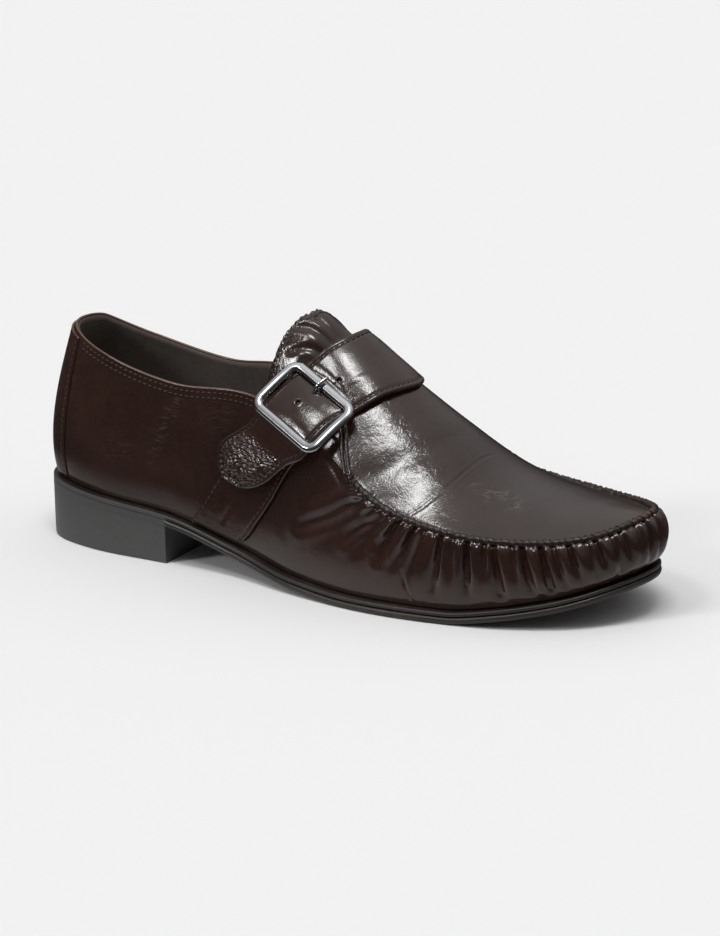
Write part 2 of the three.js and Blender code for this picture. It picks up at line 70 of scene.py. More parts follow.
soleLine = {  # x, z under the outsole
    "heelBack": (0, 23.5), "heelMiddle": (40, 20.3), "breast": (75, 17.3), "arch": (110, 9),
    "waistFront": (145, 2.2), "flatRear": (178, 0), "flatFront": (222, 0),
    "treadFront": (245, 3), "toeRise": (270, 8), "toeTip": (300, 17),
}
lastForm = {"firstRidgeRow": 4, "ridgeY": 3, "ridgeSoftness": 0.32, "featherMargin": 4, "soleStack": 5.8,
            "lowSwell": 1.6, "highSwell": 1.3, "wallReach": 0.3, "girthEase": 0.14, "rowStep": 1e-3}
farAway = 1e9

xLat, yLat, xMed, yMed, insetRow, zLat, zMed, bulgeRow = np.array(list(lastSections.values()), float).T


def toRing(outer, inner):
    return np.concatenate([outer, inner[1:-1][::-1]])


ringX, ringY = toRing(xLat, xMed), toRing(yLat, yMed)
ringInset, ringTop, ringBulge = toRing(insetRow, insetRow), toRing(zLat, zMed), toRing(bulgeRow, bulgeRow)
ringCount = len(ringX)
toeRow = ringCount // 2
ridgeX, ridgeZ, ridgePower = np.array(list(ridgeRows.values()), float).T
profileX, profileZ = np.array(list(soleLine.values()), float).T
secant = np.diff(profileZ) / np.diff(profileX)
pairProduct, pairSum = secant[:-1] * secant[1:], secant[:-1] + secant[1:]
harmonic = np.where(pairProduct > 0, 2 * pairProduct / np.where(pairSum == 0, 1, pairSum), 0)
profileSlope = np.concatenate([secant[:1], harmonic, secant[-1:]])


def cubic(p0, p1, p2, p3, f):
    return 0.5 * (2 * p1 + (p2 - p0) * f + (2 * p0 - 5 * p1 + 4 * p2 - p3) * f ** 2
                  + (3 * p1 - p0 - 3 * p2 + p3) * f ** 3)


def alongRing(values, u):
    i = np.floor(u).astype(int)
    return cubic(*(values[(i + k) % len(values)] for k in (-1, 0, 1, 2)), u - i)


def alongRows(values, position):
    values = np.asarray(values, float)
    ends = np.concatenate([[2 * values[0] - values[1]], values, [2 * values[-1] - values[-2]]])
    i = np.clip(np.floor(position).astype(int), 0, len(values) - 2)
    return cubic(ends[i], ends[i + 1], ends[i + 2], ends[i + 3], position - i)


def smooth(low, high, value):
    f = np.clip((value - low) / (high - low), 0, 1)
    return f * f * (3 - 2 * f)


def bell(gap, width):
    return np.exp(-(gap / width) ** 2)


def unit(vectors):
    return vectors / np.maximum(np.linalg.norm(vectors, axis=-1, keepdims=True), 1e-12)


def runLength(line):
    # Distance along a line of points, from its start
    return np.concatenate([[0], np.cumsum(np.linalg.norm(np.diff(line, axis=0), axis=1))])


def foldedRow(u):  # rows of the inner side counted as on the outer side
    return np.where(u > toeRow, ringCount - u, u)


def soleUnder(x):
    i = np.clip(np.searchsorted(profileX, x) - 1, 0, len(profileX) - 2)
    span = profileX[i + 1] - profileX[i]
    f = (x - profileX[i]) / span
    lead = f * (1 - f) ** 2 * profileSlope[i] - f * f * (1 - f) * profileSlope[i + 1]
    return profileZ[i] + f * f * (3 - 2 * f) * (profileZ[i + 1] - profileZ[i]) + span * lead


def soleEdge(u, inset):
    step = lastForm["rowStep"]
    dx = alongRing(ringX, u + step) - alongRing(ringX, u - step)
    dy = alongRing(ringY, u + step) - alongRing(ringY, u - step)
    outward = unit(np.stack([dy, -dx, np.zeros_like(dx)], -1))
    edge = np.stack([alongRing(ringX, u), alongRing(ringY, u), np.zeros_like(dx)], -1)
    return edge - outward * np.asarray(inset, float)[..., None], outward


def topline(u):
    edge, _ = soleEdge(u, alongRing(ringInset, u))
    edge[..., 2] = alongRing(ringTop, u)
    return edge


def wall(u, v):
    u, v = np.broadcast_arrays(np.asarray(u, float), np.asarray(v, float))
    foot, outward = soleEdge(u, np.full(u.shape, lastForm["featherMargin"]))
    foot[..., 2] = soleUnder(foot[..., 0]) + lastForm["soleStack"]
    top = topline(u)
    swell = alongRing(ringBulge, u)[..., None]
    reach = (top - foot) * np.array([0, 0, lastForm["wallReach"]])
    low = foot + outward * swell * lastForm["lowSwell"] + reach
    high = top + outward * swell * lastForm["highSwell"] - reach
    v = v[..., None]
    return (1 - v) ** 3 * foot + 3 * v * (1 - v) ** 2 * low + 3 * v * v * (1 - v) * high + v ** 3 * top


def archTo(row, t, edge, rounder=0.0):
    position = row - lastForm["firstRidgeRow"]
    ridge = np.stack([alongRows(ridgeX, position), np.full(row.shape, float(lastForm["ridgeY"])),
                      alongRows(ridgeZ, position)], -1)
    power = alongRows(ridgePower, position) + rounder
    soft = lastForm["ridgeSoftness"] ** 2
    fall = (((t * t + soft) ** (power / 2) - soft ** (power / 2))
            / ((1 + soft) ** (power / 2) - soft ** (power / 2)))
    return ridge + (edge - ridge) * np.stack([fall, np.abs(t), fall], -1)


def apronPoint(row, t):
    row, t = np.broadcast_arrays(np.asarray(row, float), np.asarray(t, float))
    return archTo(row, t, topline(np.where(t < 0, row, ringCount - row)))


def girthPoint(row, girth):  # girth 2 inner sole, 1 inner topline, 0 ridge, -1 outer topline, -2 outer sole
    row, girth = np.broadcast_arrays(np.asarray(row, float), np.asarray(girth, float))
    outer = wall(row, np.clip(girth + 2, 0, 1))
    inner = wall(ringCount - row, np.clip(2 - girth, 0, 1))
    over = apronPoint(row, np.clip(girth, -1, 1))
    return np.where((girth <= -1)[..., None], outer, np.where((girth >= 1)[..., None], inner, over))


def saddle(row, girth):
    offsets = np.array([-1, -0.5, 0, 0.5, 1]) * lastForm["girthEase"]
    return sum(girthPoint(row, girth + offset) for offset in offsets) / len(offsets)


# The source's frame: its outsole starts at the back of the heel
outsoleLow = np.array(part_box("outsole")[0])
edgeSamples = 6  # for each row
sampled = np.arange(ringCount * edgeSamples) / edgeSamples
originShift = np.array([outsoleLow[0], outsoleLow[1] - alongRing(ringY, sampled).min() / 1000, 0.0])


def toFrame(points):
    return np.asarray(points, float) / 1000 + originShift


def gridNormals(points, wrap=False):
    if wrap:
        along = np.roll(points, -1, 0) - np.roll(points, 1, 0)
    else:
        along = np.gradient(points, axis=0)
    return unit(np.cross(along, np.gradient(points, axis=1)))


def boundary(grid, sides):
    # A run of grid edges in order: "start" is the first row, "rear" the first column, and so on
    runs = {"rear": grid[:, 0], "front": grid[:, -1], "start": grid[0], "end": grid[-1]}
    path = [runs[side.strip("-")][::-1] if side.startswith("-") else runs[side] for side in sides]
    return np.concatenate([part if k == 0 else part[1:] for k, part in enumerate(path)])


def makeObject(name, points, faces, material, masks=None, sharpAngle=None):
    mesh = bpy.data.meshes.new(name)
    mesh.from_pydata(toFrame(points).tolist(), [], [list(map(int, face)) for face in faces])
    mesh.materials.append(material)
    for maskName, values in (masks or {}).items():
        mask = mesh.attributes.new(maskName, "FLOAT", "POINT")
        mask.data.foreach_set("value", np.asarray(values, np.float32).ravel())
    mesh.shade_smooth()
    if sharpAngle:
        mesh.set_sharp_from_angle(angle=math.radians(sharpAngle))
    made = bpy.data.objects.new(name, mesh)
    bpy.context.scene.collection.objects.link(made)
    return made


def quadsOf(ids):
    return np.stack([ids[:-1, :-1], ids[1:, :-1], ids[1:, 1:], ids[:-1, 1:]], -1).reshape(-1, 4)


def sheetShell(name, points, far, near, material, masks=None, wrap=False, rimOut=0.25, weld=False, rimRaw=0.0,
               tooth=0.0, toothPitch=2.0):
    # A grid of surface points made a closed leather shell between two offsets, with a rounded cut edge
    n, m = points.shape[:2]
    normal = gridNormals(points, wrap)
    if weld:  # the last row folds onto itself at the toe
        normal[-1] = unit(normal[-1] + normal[-1, ::-1])
    far = np.broadcast_to(np.asarray(far, float), (n, m))
    near = np.broadcast_to(np.asarray(near, float), (n, m))
    outer = points + normal * far[..., None]
    inner = points + normal * near[..., None]
    ids = np.arange(n * m).reshape(n, m)
    ring = np.concatenate([ids, ids[:1]]) if wrap else ids
    outerFaces = quadsOf(ring)
    if wrap:
        loops = [(ids[:, 0], ids[:, 1]), (ids[::-1, -1], ids[::-1, -2])]
    else:
        loops = [(np.concatenate([ids[:-1, 0], ids[-1, :-1], ids[:0:-1, -1], ids[0, :0:-1]]),
                  np.concatenate([ids[:-1, 1], ids[-2, :-1], ids[:0:-1, -2], ids[1, :0:-1]]))]
    flatOuter, flatInner, flat = outer.reshape(-1, 3), inner.reshape(-1, 3), points.reshape(-1, 3)
    total = n * m
    allPoints, faces, count = [flatOuter, flatInner], [outerFaces, outerFaces[:, ::-1] + total], 2 * total
    for edge, inside in loops:
        away = unit(flat[edge] - flat[inside])
        if tooth:  # pinked zigzag
            run = np.cumsum(np.linalg.norm(flat[edge] - np.roll(flat[edge], 1, 0), axis=1))
            zigzag = away * (tooth * (np.abs((run / toothPitch) % 1 - 0.5) * 4 - 1))[:, None]
            flatOuter[edge] += zigzag
            flatInner[edge] += zigzag
        middle = (flatOuter[edge] + flatInner[edge]) / 2 + away * rimOut
        allPoints.append(middle)
        mid = count + np.arange(len(edge))
        count += len(edge)
        nextEdge, nextMid = np.roll(edge, -1), np.roll(mid, -1)
        faces.append(np.stack([nextEdge, edge, mid, nextMid], -1))
        faces.append(np.stack([nextMid, mid, edge + total, nextEdge + total], -1))
    fullMasks = {}
    for maskName, values in (masks or {}).items():
        values = np.broadcast_to(np.asarray(values, float), (n, m)).ravel()
        rim = np.concatenate([values[e] for e, _ in loops])
        if maskName == "rawEdge":
            rim = np.maximum(rim, rimRaw)
        innerValues = values if maskName == "rawEdge" else np.zeros(total)
        fullMasks[maskName] = np.concatenate([values, innerValues, rim])
    piece = makeObject(name, np.concatenate(allPoints), np.concatenate(faces), material, fullMasks)
    if weld:
        weldDoubles(piece)
    return piece, outer, normal


def weldDoubles(piece, distance=2e-6):
    shell = bmesh.new()
    shell.from_mesh(piece.data)
    bmesh.ops.remove_doubles(shell, verts=shell.verts, dist=distance)
    shell.to_mesh(piece.data)
    shell.free()


def finishPiece(piece, slot, *nodes):
    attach(piece, "root")
    if nodes:
        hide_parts(*nodes)


# Shader pieces
def addNode(tree, kind, sockets=None, **settings):
    made = tree.nodes.new(kind)
    for key, value in settings.items():
        setattr(made, key, value)
    for key, value in (sockets or {}).items():
        if isinstance(value, bpy.types.NodeSocket):
            tree.links.new(value, made.inputs[key])
        else:
            made.inputs[key].default_value = value
    return made


def mathOut(tree, operation, first, second=0.0, third=0.0, clamp=False):
    return addNode(tree, "ShaderNodeMath", {0: first, 1: second, 2: third}, operation=operation,
                   use_clamp=clamp).outputs[0]


def mixColour(tree, share, first, second, blend="MIX"):
    made = addNode(tree, "ShaderNodeMix", {0: share, 6: first, 7: second}, data_type="RGBA", blend_type=blend)
    return made.outputs[2]


def mapRange(tree, value, fromLow, fromHigh, toLow=0.0, toHigh=1.0):
    return addNode(tree, "ShaderNodeMapRange", {0: value, 1: fromLow, 2: fromHigh, 3: toLow, 4: toHigh}).outputs[0]


def newGroup(name, inputs, outputs):
    tree = bpy.data.node_groups.new(name, "ShaderNodeTree")
    for label, kind, value in inputs:
        socket = tree.interface.new_socket(label, in_out="INPUT", socket_type=kind)
        socket.default_value = value
    for label, kind in outputs:
        tree.interface.new_socket(label, in_out="OUTPUT", socket_type=kind)
    return tree, tree.nodes.new("NodeGroupInput"), tree.nodes.new("NodeGroupOutput")


finishOutputs = [("Colour", "NodeSocketColor"), ("Roughness", "NodeSocketFloat"), ("Normal", "NodeSocketVector")]


def closeGroup(tree, result, colour, rough, height):
    bump = addNode(tree, "ShaderNodeBump", {"Height": height, "Distance": 0.001, "Strength": 1.0})
    for label, socket in (("Colour", colour), ("Roughness", rough), ("Normal", bump.outputs[0])):
        tree.links.new(socket, result.inputs[label])
    return tree


hide = {  # scales of the patterns for each metre, and what part of each one is taken
    "cloud": 26, "cloudRange": (0.36, 0.66), "speck": 340, "speckRange": (0.3, 0.75, 0.78, 1.12),
    "rawRange": (0.3, 0.6, 0.55, 1.0), "rawDull": 0.3, "grooveShade": 0.85, "paintedShadeTone": (0.002, 0.0015, 0.001, 1),
    "drift": 90, "driftReach": 0.004, "rubSheenScale": (190, 190, 1100), "rubSheenRange": (0.48, 0.68),
    "folds": (((0.2, 0.1, 0.35), (430, 170, 210)), ((0.1, -0.2, -0.4), (380, 180, 210))),  # turn, scale
    "lineWidth": 0.17, "lineDepth": 0.45, "fleck": 300, "fleckRange": (0.3, 0.7, 0.0, 0.35), "pore": 1150.0,
    "swell": 70, "smallSwell": 170, "smallShare": 0.4, "polish": 120, "polishRange": (0.3, 0.7)}


def leatherFinish():
    # Polished hide: mottled dye, fine grain, flex wrinkles where the crackle mask asks, a raw cut edge
    tree, given, result = newGroup("leatherFinish", [
        ("Deep", "NodeSocketColor", (0.03, 0.012, 0.008, 1)), ("Warm", "NodeSocketColor", (0.05, 0.02, 0.012, 1)),
        ("Raw", "NodeSocketColor", (0.2, 0.08, 0.04, 1)), ("Rub and sheen", "NodeSocketColor", (0.085, 0.068, 0.06, 1)),
        ("Grain", "NodeSocketFloat", 0.02), ("Crackle", "NodeSocketFloat", 0.15), ("Ripple", "NodeSocketFloat", 0.1),
        ("Polish", "NodeSocketFloat", 0.2), ("Dull", "NodeSocketFloat", 0.32)], finishOutputs)
    place = addNode(tree, "ShaderNodeTexCoord").outputs["Object"]

    def noise(scale, detail, vector=place, rough=0.55):
        return addNode(tree, "ShaderNodeTexNoise", {"Vector": vector, "Scale": scale, "Detail": detail,
                                                    "Roughness": rough})

    def maskOf(name):
        return addNode(tree, "ShaderNodeAttribute", attribute_name=name).outputs["Fac"]

    def times(first, second):
        return mathOut(tree, "MULTIPLY", first, second)

    def plus(first, second):
        return mathOut(tree, "ADD", first, second)

    # Dye, worn edges, painted shade darkening grooves and holes, and rubbed lines lightened as a painted highlight
    rawEdge = maskOf("rawEdge")
    cloud = noise(hide["cloud"], 3).outputs[0]
    speck = noise(hide["speck"], 4, rough=0.65).outputs[0]
    colour = mixColour(tree, mapRange(tree, cloud, *hide["cloudRange"]), given.outputs["Deep"], given.outputs["Warm"])
    colour = mixColour(tree, mapRange(tree, speck, *hide["speckRange"]), (0, 0, 0, 1), colour)
    worn = times(rawEdge, mapRange(tree, speck, *hide["rawRange"]))
    colour = mixColour(tree, worn, colour, given.outputs["Raw"])
    # painted shade: where the shade mask is set, grooves and holes are darkened towards a near-black tone
    colour = mixColour(tree, times(maskOf("shade"), hide["grooveShade"]), colour, hide["paintedShadeTone"])
    drift = addNode(tree, "ShaderNodeVectorMath", {0: noise(hide["drift"], 2).outputs[1],
                                                   1: (hide["driftReach"],) * 3}, operation="MULTIPLY")
    bent = addNode(tree, "ShaderNodeVectorMath", {0: place, 1: drift.outputs[0]}, operation="ADD").outputs[0]
    # painted highlight: thin streaks along fine wrinkle lines are lightened, partly rubbed wear and partly light
    # caught by the lines
    rungs = addNode(tree, "ShaderNodeMapping", {"Vector": bent, "Scale": hide["rubSheenScale"]}).outputs[0]
    rubbed = times(maskOf("rubAndSheen"), mapRange(tree, noise(1, 2, rungs).outputs[0], *hide["rubSheenRange"]))
    colour = mixColour(tree, rubbed, colour, given.outputs["Rub and sheen"])

    def wrinkles(turn, scale):
        turned = addNode(tree, "ShaderNodeMapping", {"Vector": bent, "Rotation": turn, "Scale": scale}).outputs[0]
        folds = noise(1, 2, turned, 0.5).outputs[0]
        fromMiddle = mathOut(tree, "ABSOLUTE", mathOut(tree, "SUBTRACT", folds, 0.5))
        return folds, mapRange(tree, fromMiddle, 0, hide["lineWidth"], 0, hide["lineDepth"])

    # Relief: wrinkles in two directions, pores and slow ripples
    (firstFolds, firstLines), (secondFolds, secondLines) = (wrinkles(*each) for each in hide["folds"])
    flex = plus(mathOut(tree, "MINIMUM", firstLines, secondLines), plus(firstFolds, secondFolds))
    flex = plus(flex, mapRange(tree, noise(hide["fleck"], 2, bent).outputs[0], *hide["fleckRange"]))
    pores = addNode(tree, "ShaderNodeTexVoronoi", {"Vector": bent, "Scale": hide["pore"]}).outputs["Distance"]
    swell = mathOut(tree, "MULTIPLY_ADD", noise(hide["smallSwell"], 1).outputs[0], hide["smallShare"],
                    noise(hide["swell"], 2).outputs[0])
    height = times(times(flex, maskOf("crackle")), given.outputs["Crackle"])
    height = plus(height, times(times(pores, -1.0), given.outputs["Grain"]))
    height = plus(height, times(swell, given.outputs["Ripple"]))
    spread = mathOut(tree, "SUBTRACT", given.outputs["Dull"], given.outputs["Polish"])
    patchy = mapRange(tree, noise(hide["polish"], 3).outputs[0], *hide["polishRange"])
    rough = mathOut(tree, "MULTIPLY_ADD", patchy, spread, given.outputs["Polish"])
    rough = mathOut(tree, "ADD", rough, times(rawEdge, hide["rawDull"]), clamp=True)
    return closeGroup(tree, result, colour, rough, height)


dressing = {"cloud": 45.0, "speck": 420.0, "lineScale": (60, 60, 1500), "cloudRange": (0.45, 0.75),
            "speckRange": (0.35, 0.65), "polishRange": (0.3, 0.7)}


def scuffFinish():
    # Dressed edges, rubber and metal: soft clouding, fine lines along the shoe and small scuffs
    tree, given, result = newGroup("scuffFinish", [
        ("Base", "NodeSocketColor", (0.03, 0.03, 0.03, 1)), ("Rubbed", "NodeSocketColor", (0.06, 0.055, 0.05, 1)),
        ("Heel", "NodeSocketColor", (0.063, 0.062, 0.061, 1)),
        ("Line depth", "NodeSocketFloat", 0.02), ("Scuff depth", "NodeSocketFloat", 0.02),
        ("Smooth", "NodeSocketFloat", 0.35), ("Rough", "NodeSocketFloat", 0.5)], finishOutputs)
    place = addNode(tree, "ShaderNodeTexCoord").outputs["Object"]

    def noise(scale, detail, vector=place):
        return addNode(tree, "ShaderNodeTexNoise", {"Vector": vector, "Scale": scale, "Detail": detail}).outputs[0]

    cloud, speck = noise(dressing["cloud"], 4.0), noise(dressing["speck"], 3.0)
    stretched = addNode(tree, "ShaderNodeMapping", {"Vector": place, "Scale": dressing["lineScale"]}).outputs[0]
    lines = noise(1.0, 2.0, stretched)
    rubbed = mathOut(tree, "MULTIPLY", mapRange(tree, cloud, *dressing["cloudRange"]),
                     mapRange(tree, speck, *dressing["speckRange"]))
    colour = mixColour(tree, rubbed, given.outputs["Base"], given.outputs["Rubbed"])
    heelTone = addNode(tree, "ShaderNodeAttribute", attribute_name="heelTone").outputs["Fac"]
    colour = mixColour(tree, heelTone, colour, given.outputs["Heel"])
    height = mathOut(tree, "ADD", mathOut(tree, "MULTIPLY", lines, given.outputs["Line depth"]),
                     mathOut(tree, "MULTIPLY", speck, given.outputs["Scuff depth"]))
    spread = mathOut(tree, "SUBTRACT", given.outputs["Rough"], given.outputs["Smooth"])
    rough = mathOut(tree, "MULTIPLY_ADD", mapRange(tree, cloud, *dressing["polishRange"]), spread,
                    given.outputs["Smooth"])
    return closeGroup(tree, result, colour, rough, height)


leatherGroup, scuffGroup = leatherFinish(), scuffFinish()


def newMaterial(name, group, values, **fixed):
    material = bpy.data.materials.new(name)
    material.use_nodes = True
    tree = material.node_tree
    shader = tree.nodes["Principled BSDF"]
    finish = tree.nodes.new("ShaderNodeGroup")
    finish.node_tree = group
    for label, value in values.items():
        finish.inputs[label].default_value = value
    tree.links.new(finish.outputs["Colour"], shader.inputs["Base Color"])
    tree.links.new(finish.outputs["Roughness"], shader.inputs["Roughness"])
    tree.links.new(finish.outputs["Normal"], shader.inputs["Normal"])
    for label, value in fixed.items():
        shader.inputs[label].default_value = value
    return material


def tint(red, green, blue):
    return (red, green, blue, 1.0)


gloss = {"Coat Weight": 0.35, "Coat Roughness": 0.1}
upperLeather = newMaterial("upperLeather", leatherGroup, {
    "Deep": tint(0.0224, 0.011, 0.0082), "Warm": tint(0.0345, 0.0158, 0.0112), "Raw": tint(0.13, 0.058, 0.033),
    "Grain": 0.03, "Crackle": 0.25, "Ripple": 0.27, "Polish": 0.1, "Dull": 0.17}, **gloss)
strapLeather = newMaterial("strapLeather", leatherGroup, {
    "Deep": tint(0.0232, 0.0114, 0.0086), "Warm": tint(0.0355, 0.0163, 0.0116), "Raw": tint(0.03, 0.013, 0.009),
    "Grain": 0.03, "Crackle": 0.2, "Ripple": 0.27, "Polish": 0.1, "Dull": 0.17}, **gloss)
seamLeather = newMaterial("seamLeather", leatherGroup, {
    "Deep": tint(0.018, 0.009, 0.007), "Warm": tint(0.032, 0.014, 0.0095), "Raw": tint(0.19, 0.088, 0.05),
    "Grain": 0.1, "Crackle": 0.3, "Ripple": 0.3, "Polish": 0.3, "Dull": 0.46})
liningLeather = newMaterial("liningLeather", leatherGroup, {
    "Deep": tint(0.09, 0.075, 0.067), "Warm": tint(0.118, 0.097, 0.085), "Raw": tint(0.1, 0.05, 0.03),
    "Grain": 0.02, "Crackle": 0.1, "Ripple": 0.05, "Polish": 0.55, "Dull": 0.75})
soleLeather = newMaterial("soleLeather", scuffGroup, {
    "Base": tint(0.022, 0.017, 0.0155), "Rubbed": tint(0.05, 0.036, 0.028),
    "Line depth": 0.05, "Scuff depth": 0.015, "Smooth": 0.3, "Rough": 0.46})
weltLeather = newMaterial("weltLeather", scuffGroup, {
    "Base": tint(0.017, 0.012, 0.0105), "Rubbed": tint(0.04, 0.028, 0.022),
    "Line depth": 0.05, "Scuff depth": 0.015, "Smooth": 0.34, "Rough": 0.5})
heelRubber = newMaterial("heelRubber", scuffGroup, {
    "Base": tint(0.063, 0.062, 0.061), "Rubbed": tint(0.076, 0.074, 0.072),
    "Line depth": 0.012, "Scuff depth": 0.02, "Smooth": 0.36, "Rough": 0.48})
buckleMetal = newMaterial("buckleMetal", scuffGroup, {
    "Base": tint(0.66, 0.67, 0.69), "Rubbed": tint(0.54, 0.55, 0.57),
    "Line depth": 0.0, "Scuff depth": 0.003, "Smooth": 0.06, "Rough": 0.12}, Metallic=1.0)
waxedThread = newMaterial("waxedThread", scuffGroup, {
    "Base": tint(0.042, 0.028, 0.022), "Rubbed": tint(0.075, 0.052, 0.042),
    "Line depth": 0.0, "Scuff depth": 0.06, "Smooth": 0.35, "Rough": 0.55})
darkThread = newMaterial("darkThread", scuffGroup, {
    "Base": tint(0.014, 0.009, 0.0075), "Rubbed": tint(0.035, 0.022, 0.017),
    "Line depth": 0.0, "Scuff depth": 0.06, "Smooth": 0.38, "Rough": 0.55})
print("finishes made")

# Creases listed one by one: places on the shoe as (row, girth), then width and depth in millimetres
upperCreases = {
    "flex": ([(6.47, -0.97), (6.55, -0.85), (6.61, -0.63), (6.635, -0.38), (6.65, -0.13), (6.69, 0.08)], 0.42, 0.5),
    "apronDip": ([(5.66, -0.98), (5.86, -0.82), (6.02, -0.6), (6.16, -0.35), (6.25, -0.1)], 4.6, 0.38),
    "cornerFold": ([(5.78, -1.13), (5.62, -1.24), (5.34, -1.44), (4.96, -1.62)], 2.6, 1.7),
    "secondFold": ([(6.12, -1.1), (6.0, -1.2), (5.86, -1.3), (5.64, -1.5)], 2.4, 1.5),
    "thirdFold": ([(6.4, -1.09), (6.28, -1.25), (6.18, -1.42), (6.12, -1.55)], 2.2, 1.2),
    "throatTuck": ([(5.22, -1.04), (5.36, -1.07), (5.5, -1.12)], 1.8, 0.45),
    "ballLine": ([(6.46, -1.58), (6.5, -1.72), (6.6, -1.93)], 0.7, 0.45),
    "innerFlex": ([(6.52, 0.97), (6.6, 0.8), (6.64, 0.6), (6.68, 0.42)], 0.6, 0.4),
    "innerCorner": ([(5.78, 1.13), (5.6, 1.25), (5.32, 1.45), (5.0, 1.6)], 2.6, 1.2),
    "innerSecond": ([(6.12, 1.1), (5.98, 1.22), (5.82, 1.34), (5.6, 1.55)], 2.3, 1.0),
    "innerThird": ([(6.42, 1.09), (6.3, 1.25), (6.22, 1.42)], 2.1, 0.8),
}
creaseForm = {"steps": 14, "fadeStart": 0.06, "fadeSpan": 0.88, "fadePower": 0.6,
              "ridge": 0.35, "ridgeAway": 2.1, "ridgeWide": 1.1}


def polyline(path, steps=creaseForm["steps"]):
    path = np.array(path, float)
    position = np.linspace(0, len(path) - 1, steps)
    return np.stack([alongRows(path[:, k], position) for k in range(path.shape[1])], -1)


def creaseRelief(points, creases, surface=girthPoint):
    # Soft troughs with a low ridge beside them, fading at both ends
    relief = np.zeros(points.shape[:-1])
    for path, width, depth in creases.values():
        places = polyline(path)
        line = surface(places[:, 0], places[:, 1])
        best, share = np.full(relief.shape, farAway), np.zeros(relief.shape)
        for k in range(len(line) - 1):
            start, run = line[k], line[k + 1] - line[k]
            f = np.clip((points - start) @ run / (run @ run), 0, 1)
            gap = np.linalg.norm(points - start - f[..., None] * run, axis=-1)
            nearer = gap < best
            best = np.where(nearer, gap, best)
            share = np.where(nearer, (k + f) / (len(line) - 1), share)
        inRun = np.clip(creaseForm["fadeStart"] + creaseForm["fadeSpan"] * share, 0, 1)
        fade = np.sin(np.pi * inRun) ** creaseForm["fadePower"]
        trough = -depth * bell(best, width)
        fromCrest = best - creaseForm["ridgeAway"] * width
        ridge = creaseForm["ridge"] * depth * bell(fromCrest, creaseForm["ridgeWide"] * width)
        relief += fade * (trough + ridge)
    return relief


# Gathers below the moccasin seam
gather = {"pitch": 6.1, "firstRow": 5.62, "fadeRows": (5.5, 5.85), "puff": 1.9, "puffPeak": 3.2, "groove": 0.8,
          "widen": 0.07, "fullShare": 0.3, "farShare": 1.25, "ridge": 0.3, "ridgeAway": 2.0, "ridgeWide": 1.1,
          "footFade": (0.06, 0.3), "runFrom": 5, "runSteps": 4001}
gatherZones = {  # row: depth, reach down the wall, lean per mm towards the toe
    5.5: (1.4, 18, -1.6), 6.2: (1.8, 27, -0.8), 7.0: (2.2, 33, -0.15), 7.8: (2.5, 33, 0.2),
    8.6: (2.5, 29, 0.32), 9.4: (1.9, 23, 0.25), 10.0: (1.5, 18, 0.0),
}
gatherDepths = (1.25, 0.6, 0.95, 0.4, 1.1, 0.65, 0.9, 0.5, 1.2)
gatherReaches = (1.0, 0.55, 0.8, 0.45, 1.15, 0.6, 0.7, 0.95)
gatherShifts = (0.0, 1.0, -0.8, 0.6, -1.2, 0.5, -0.4)

# Distance along the seam, counted from the toe
arcRows = np.linspace(gather["runFrom"], ringCount - gather["runFrom"], gather["runSteps"])
arcAt = runLength(topline(arcRows))
arcAt -= np.interp(toeRow, arcRows, arcAt)
gatherCount = int(np.interp(ringCount - gather["firstRow"], arcRows, arcAt) / gather["pitch"])
gatherPlaces = [(k, k * gather["pitch"] + gatherShifts[k % len(gatherShifts)])
                for k in range(-gatherCount, gatherCount + 1)]
gatherRows = [np.interp(place, arcAt, arcRows) for k, place in gatherPlaces]


def gatherRelief(u, v):
    seamShare = smooth(*gather["fadeRows"], foldedRow(u))
    height = topline(u)[..., 2] - soleUnder(alongRing(ringX, u)) - lastForm["soleStack"]
    down = (1 - v) * height
    arc = np.interp(u, arcRows, arcAt)
    relief = gather["puff"] * (down / gather["puffPeak"]) * np.exp(1 - down / gather["puffPeak"])
    zoneRows = np.array(list(gatherZones))
    zones = np.array(list(gatherZones.values()))
    for (k, place), row in zip(gatherPlaces, gatherRows):
        near = min(row, ringCount - row)
        depth, reach, lean = (np.interp(near, zoneRows, zones[:, c]) for c in range(3))
        depth *= gatherDepths[k % len(gatherDepths)]
        reach *= gatherReaches[k % len(gatherReaches)]
        lean *= 1 if row < toeRow else -1
        width = gather["groove"] + gather["widen"] * down
        off = (arc - place - lean * down) / width
        fade = 1 - smooth(gather["fullShare"] * reach, reach * gather["farShare"], down)
        ridge = gather["ridge"] * bell(np.abs(off) - gather["ridgeAway"], gather["ridgeWide"])
        relief = relief + depth * fade * (-bell(off, 1) + ridge)
    return relief * seamShare * smooth(*gather["footFade"], v)


def patchMask(points, patches):
    # Patches of fine flex wrinkles: centre as (row, girth), reach in mm, strength
    mask = np.zeros(points.shape[:-1])
    for row, girth, reach, strength in patches:
        centre = girthPoint(np.array([row]), np.array([girth]))[0]
        gap = np.linalg.norm(points - centre, axis=-1)
        mask = np.maximum(mask, strength * np.exp(-(gap / reach) ** 2))
    return mask


# Wall of the upper: quarters and gathered toe in one strip from collar or seam to the sole
wallPiece = {"quarterColumns": 16, "toeColumns": 54, "quarterRows": 4.5, "lowLevels": 34, "highLevels": 18,
             "highFrom": 0.86, "leather": 1.2, "collarRows": (5.0, 5.4), "rawFrom": 0.992, "rimRaw": 0.6,
             "grooveShade": 0.6, "paintedShadeDepths": (-0.2, -1.6)}
wallPatches = ((6.3, -1.35, 14, 0.6), (5.6, -1.25, 10, 0.6), (8.2, -1.25, 10, 0.35), (2.75, -1.35, 9, 0.5),
               (6.4, 1.35, 14, 0.5), (2.6, 1.4, 10, 0.3), (1.6, -1.6, 10, 0.25))
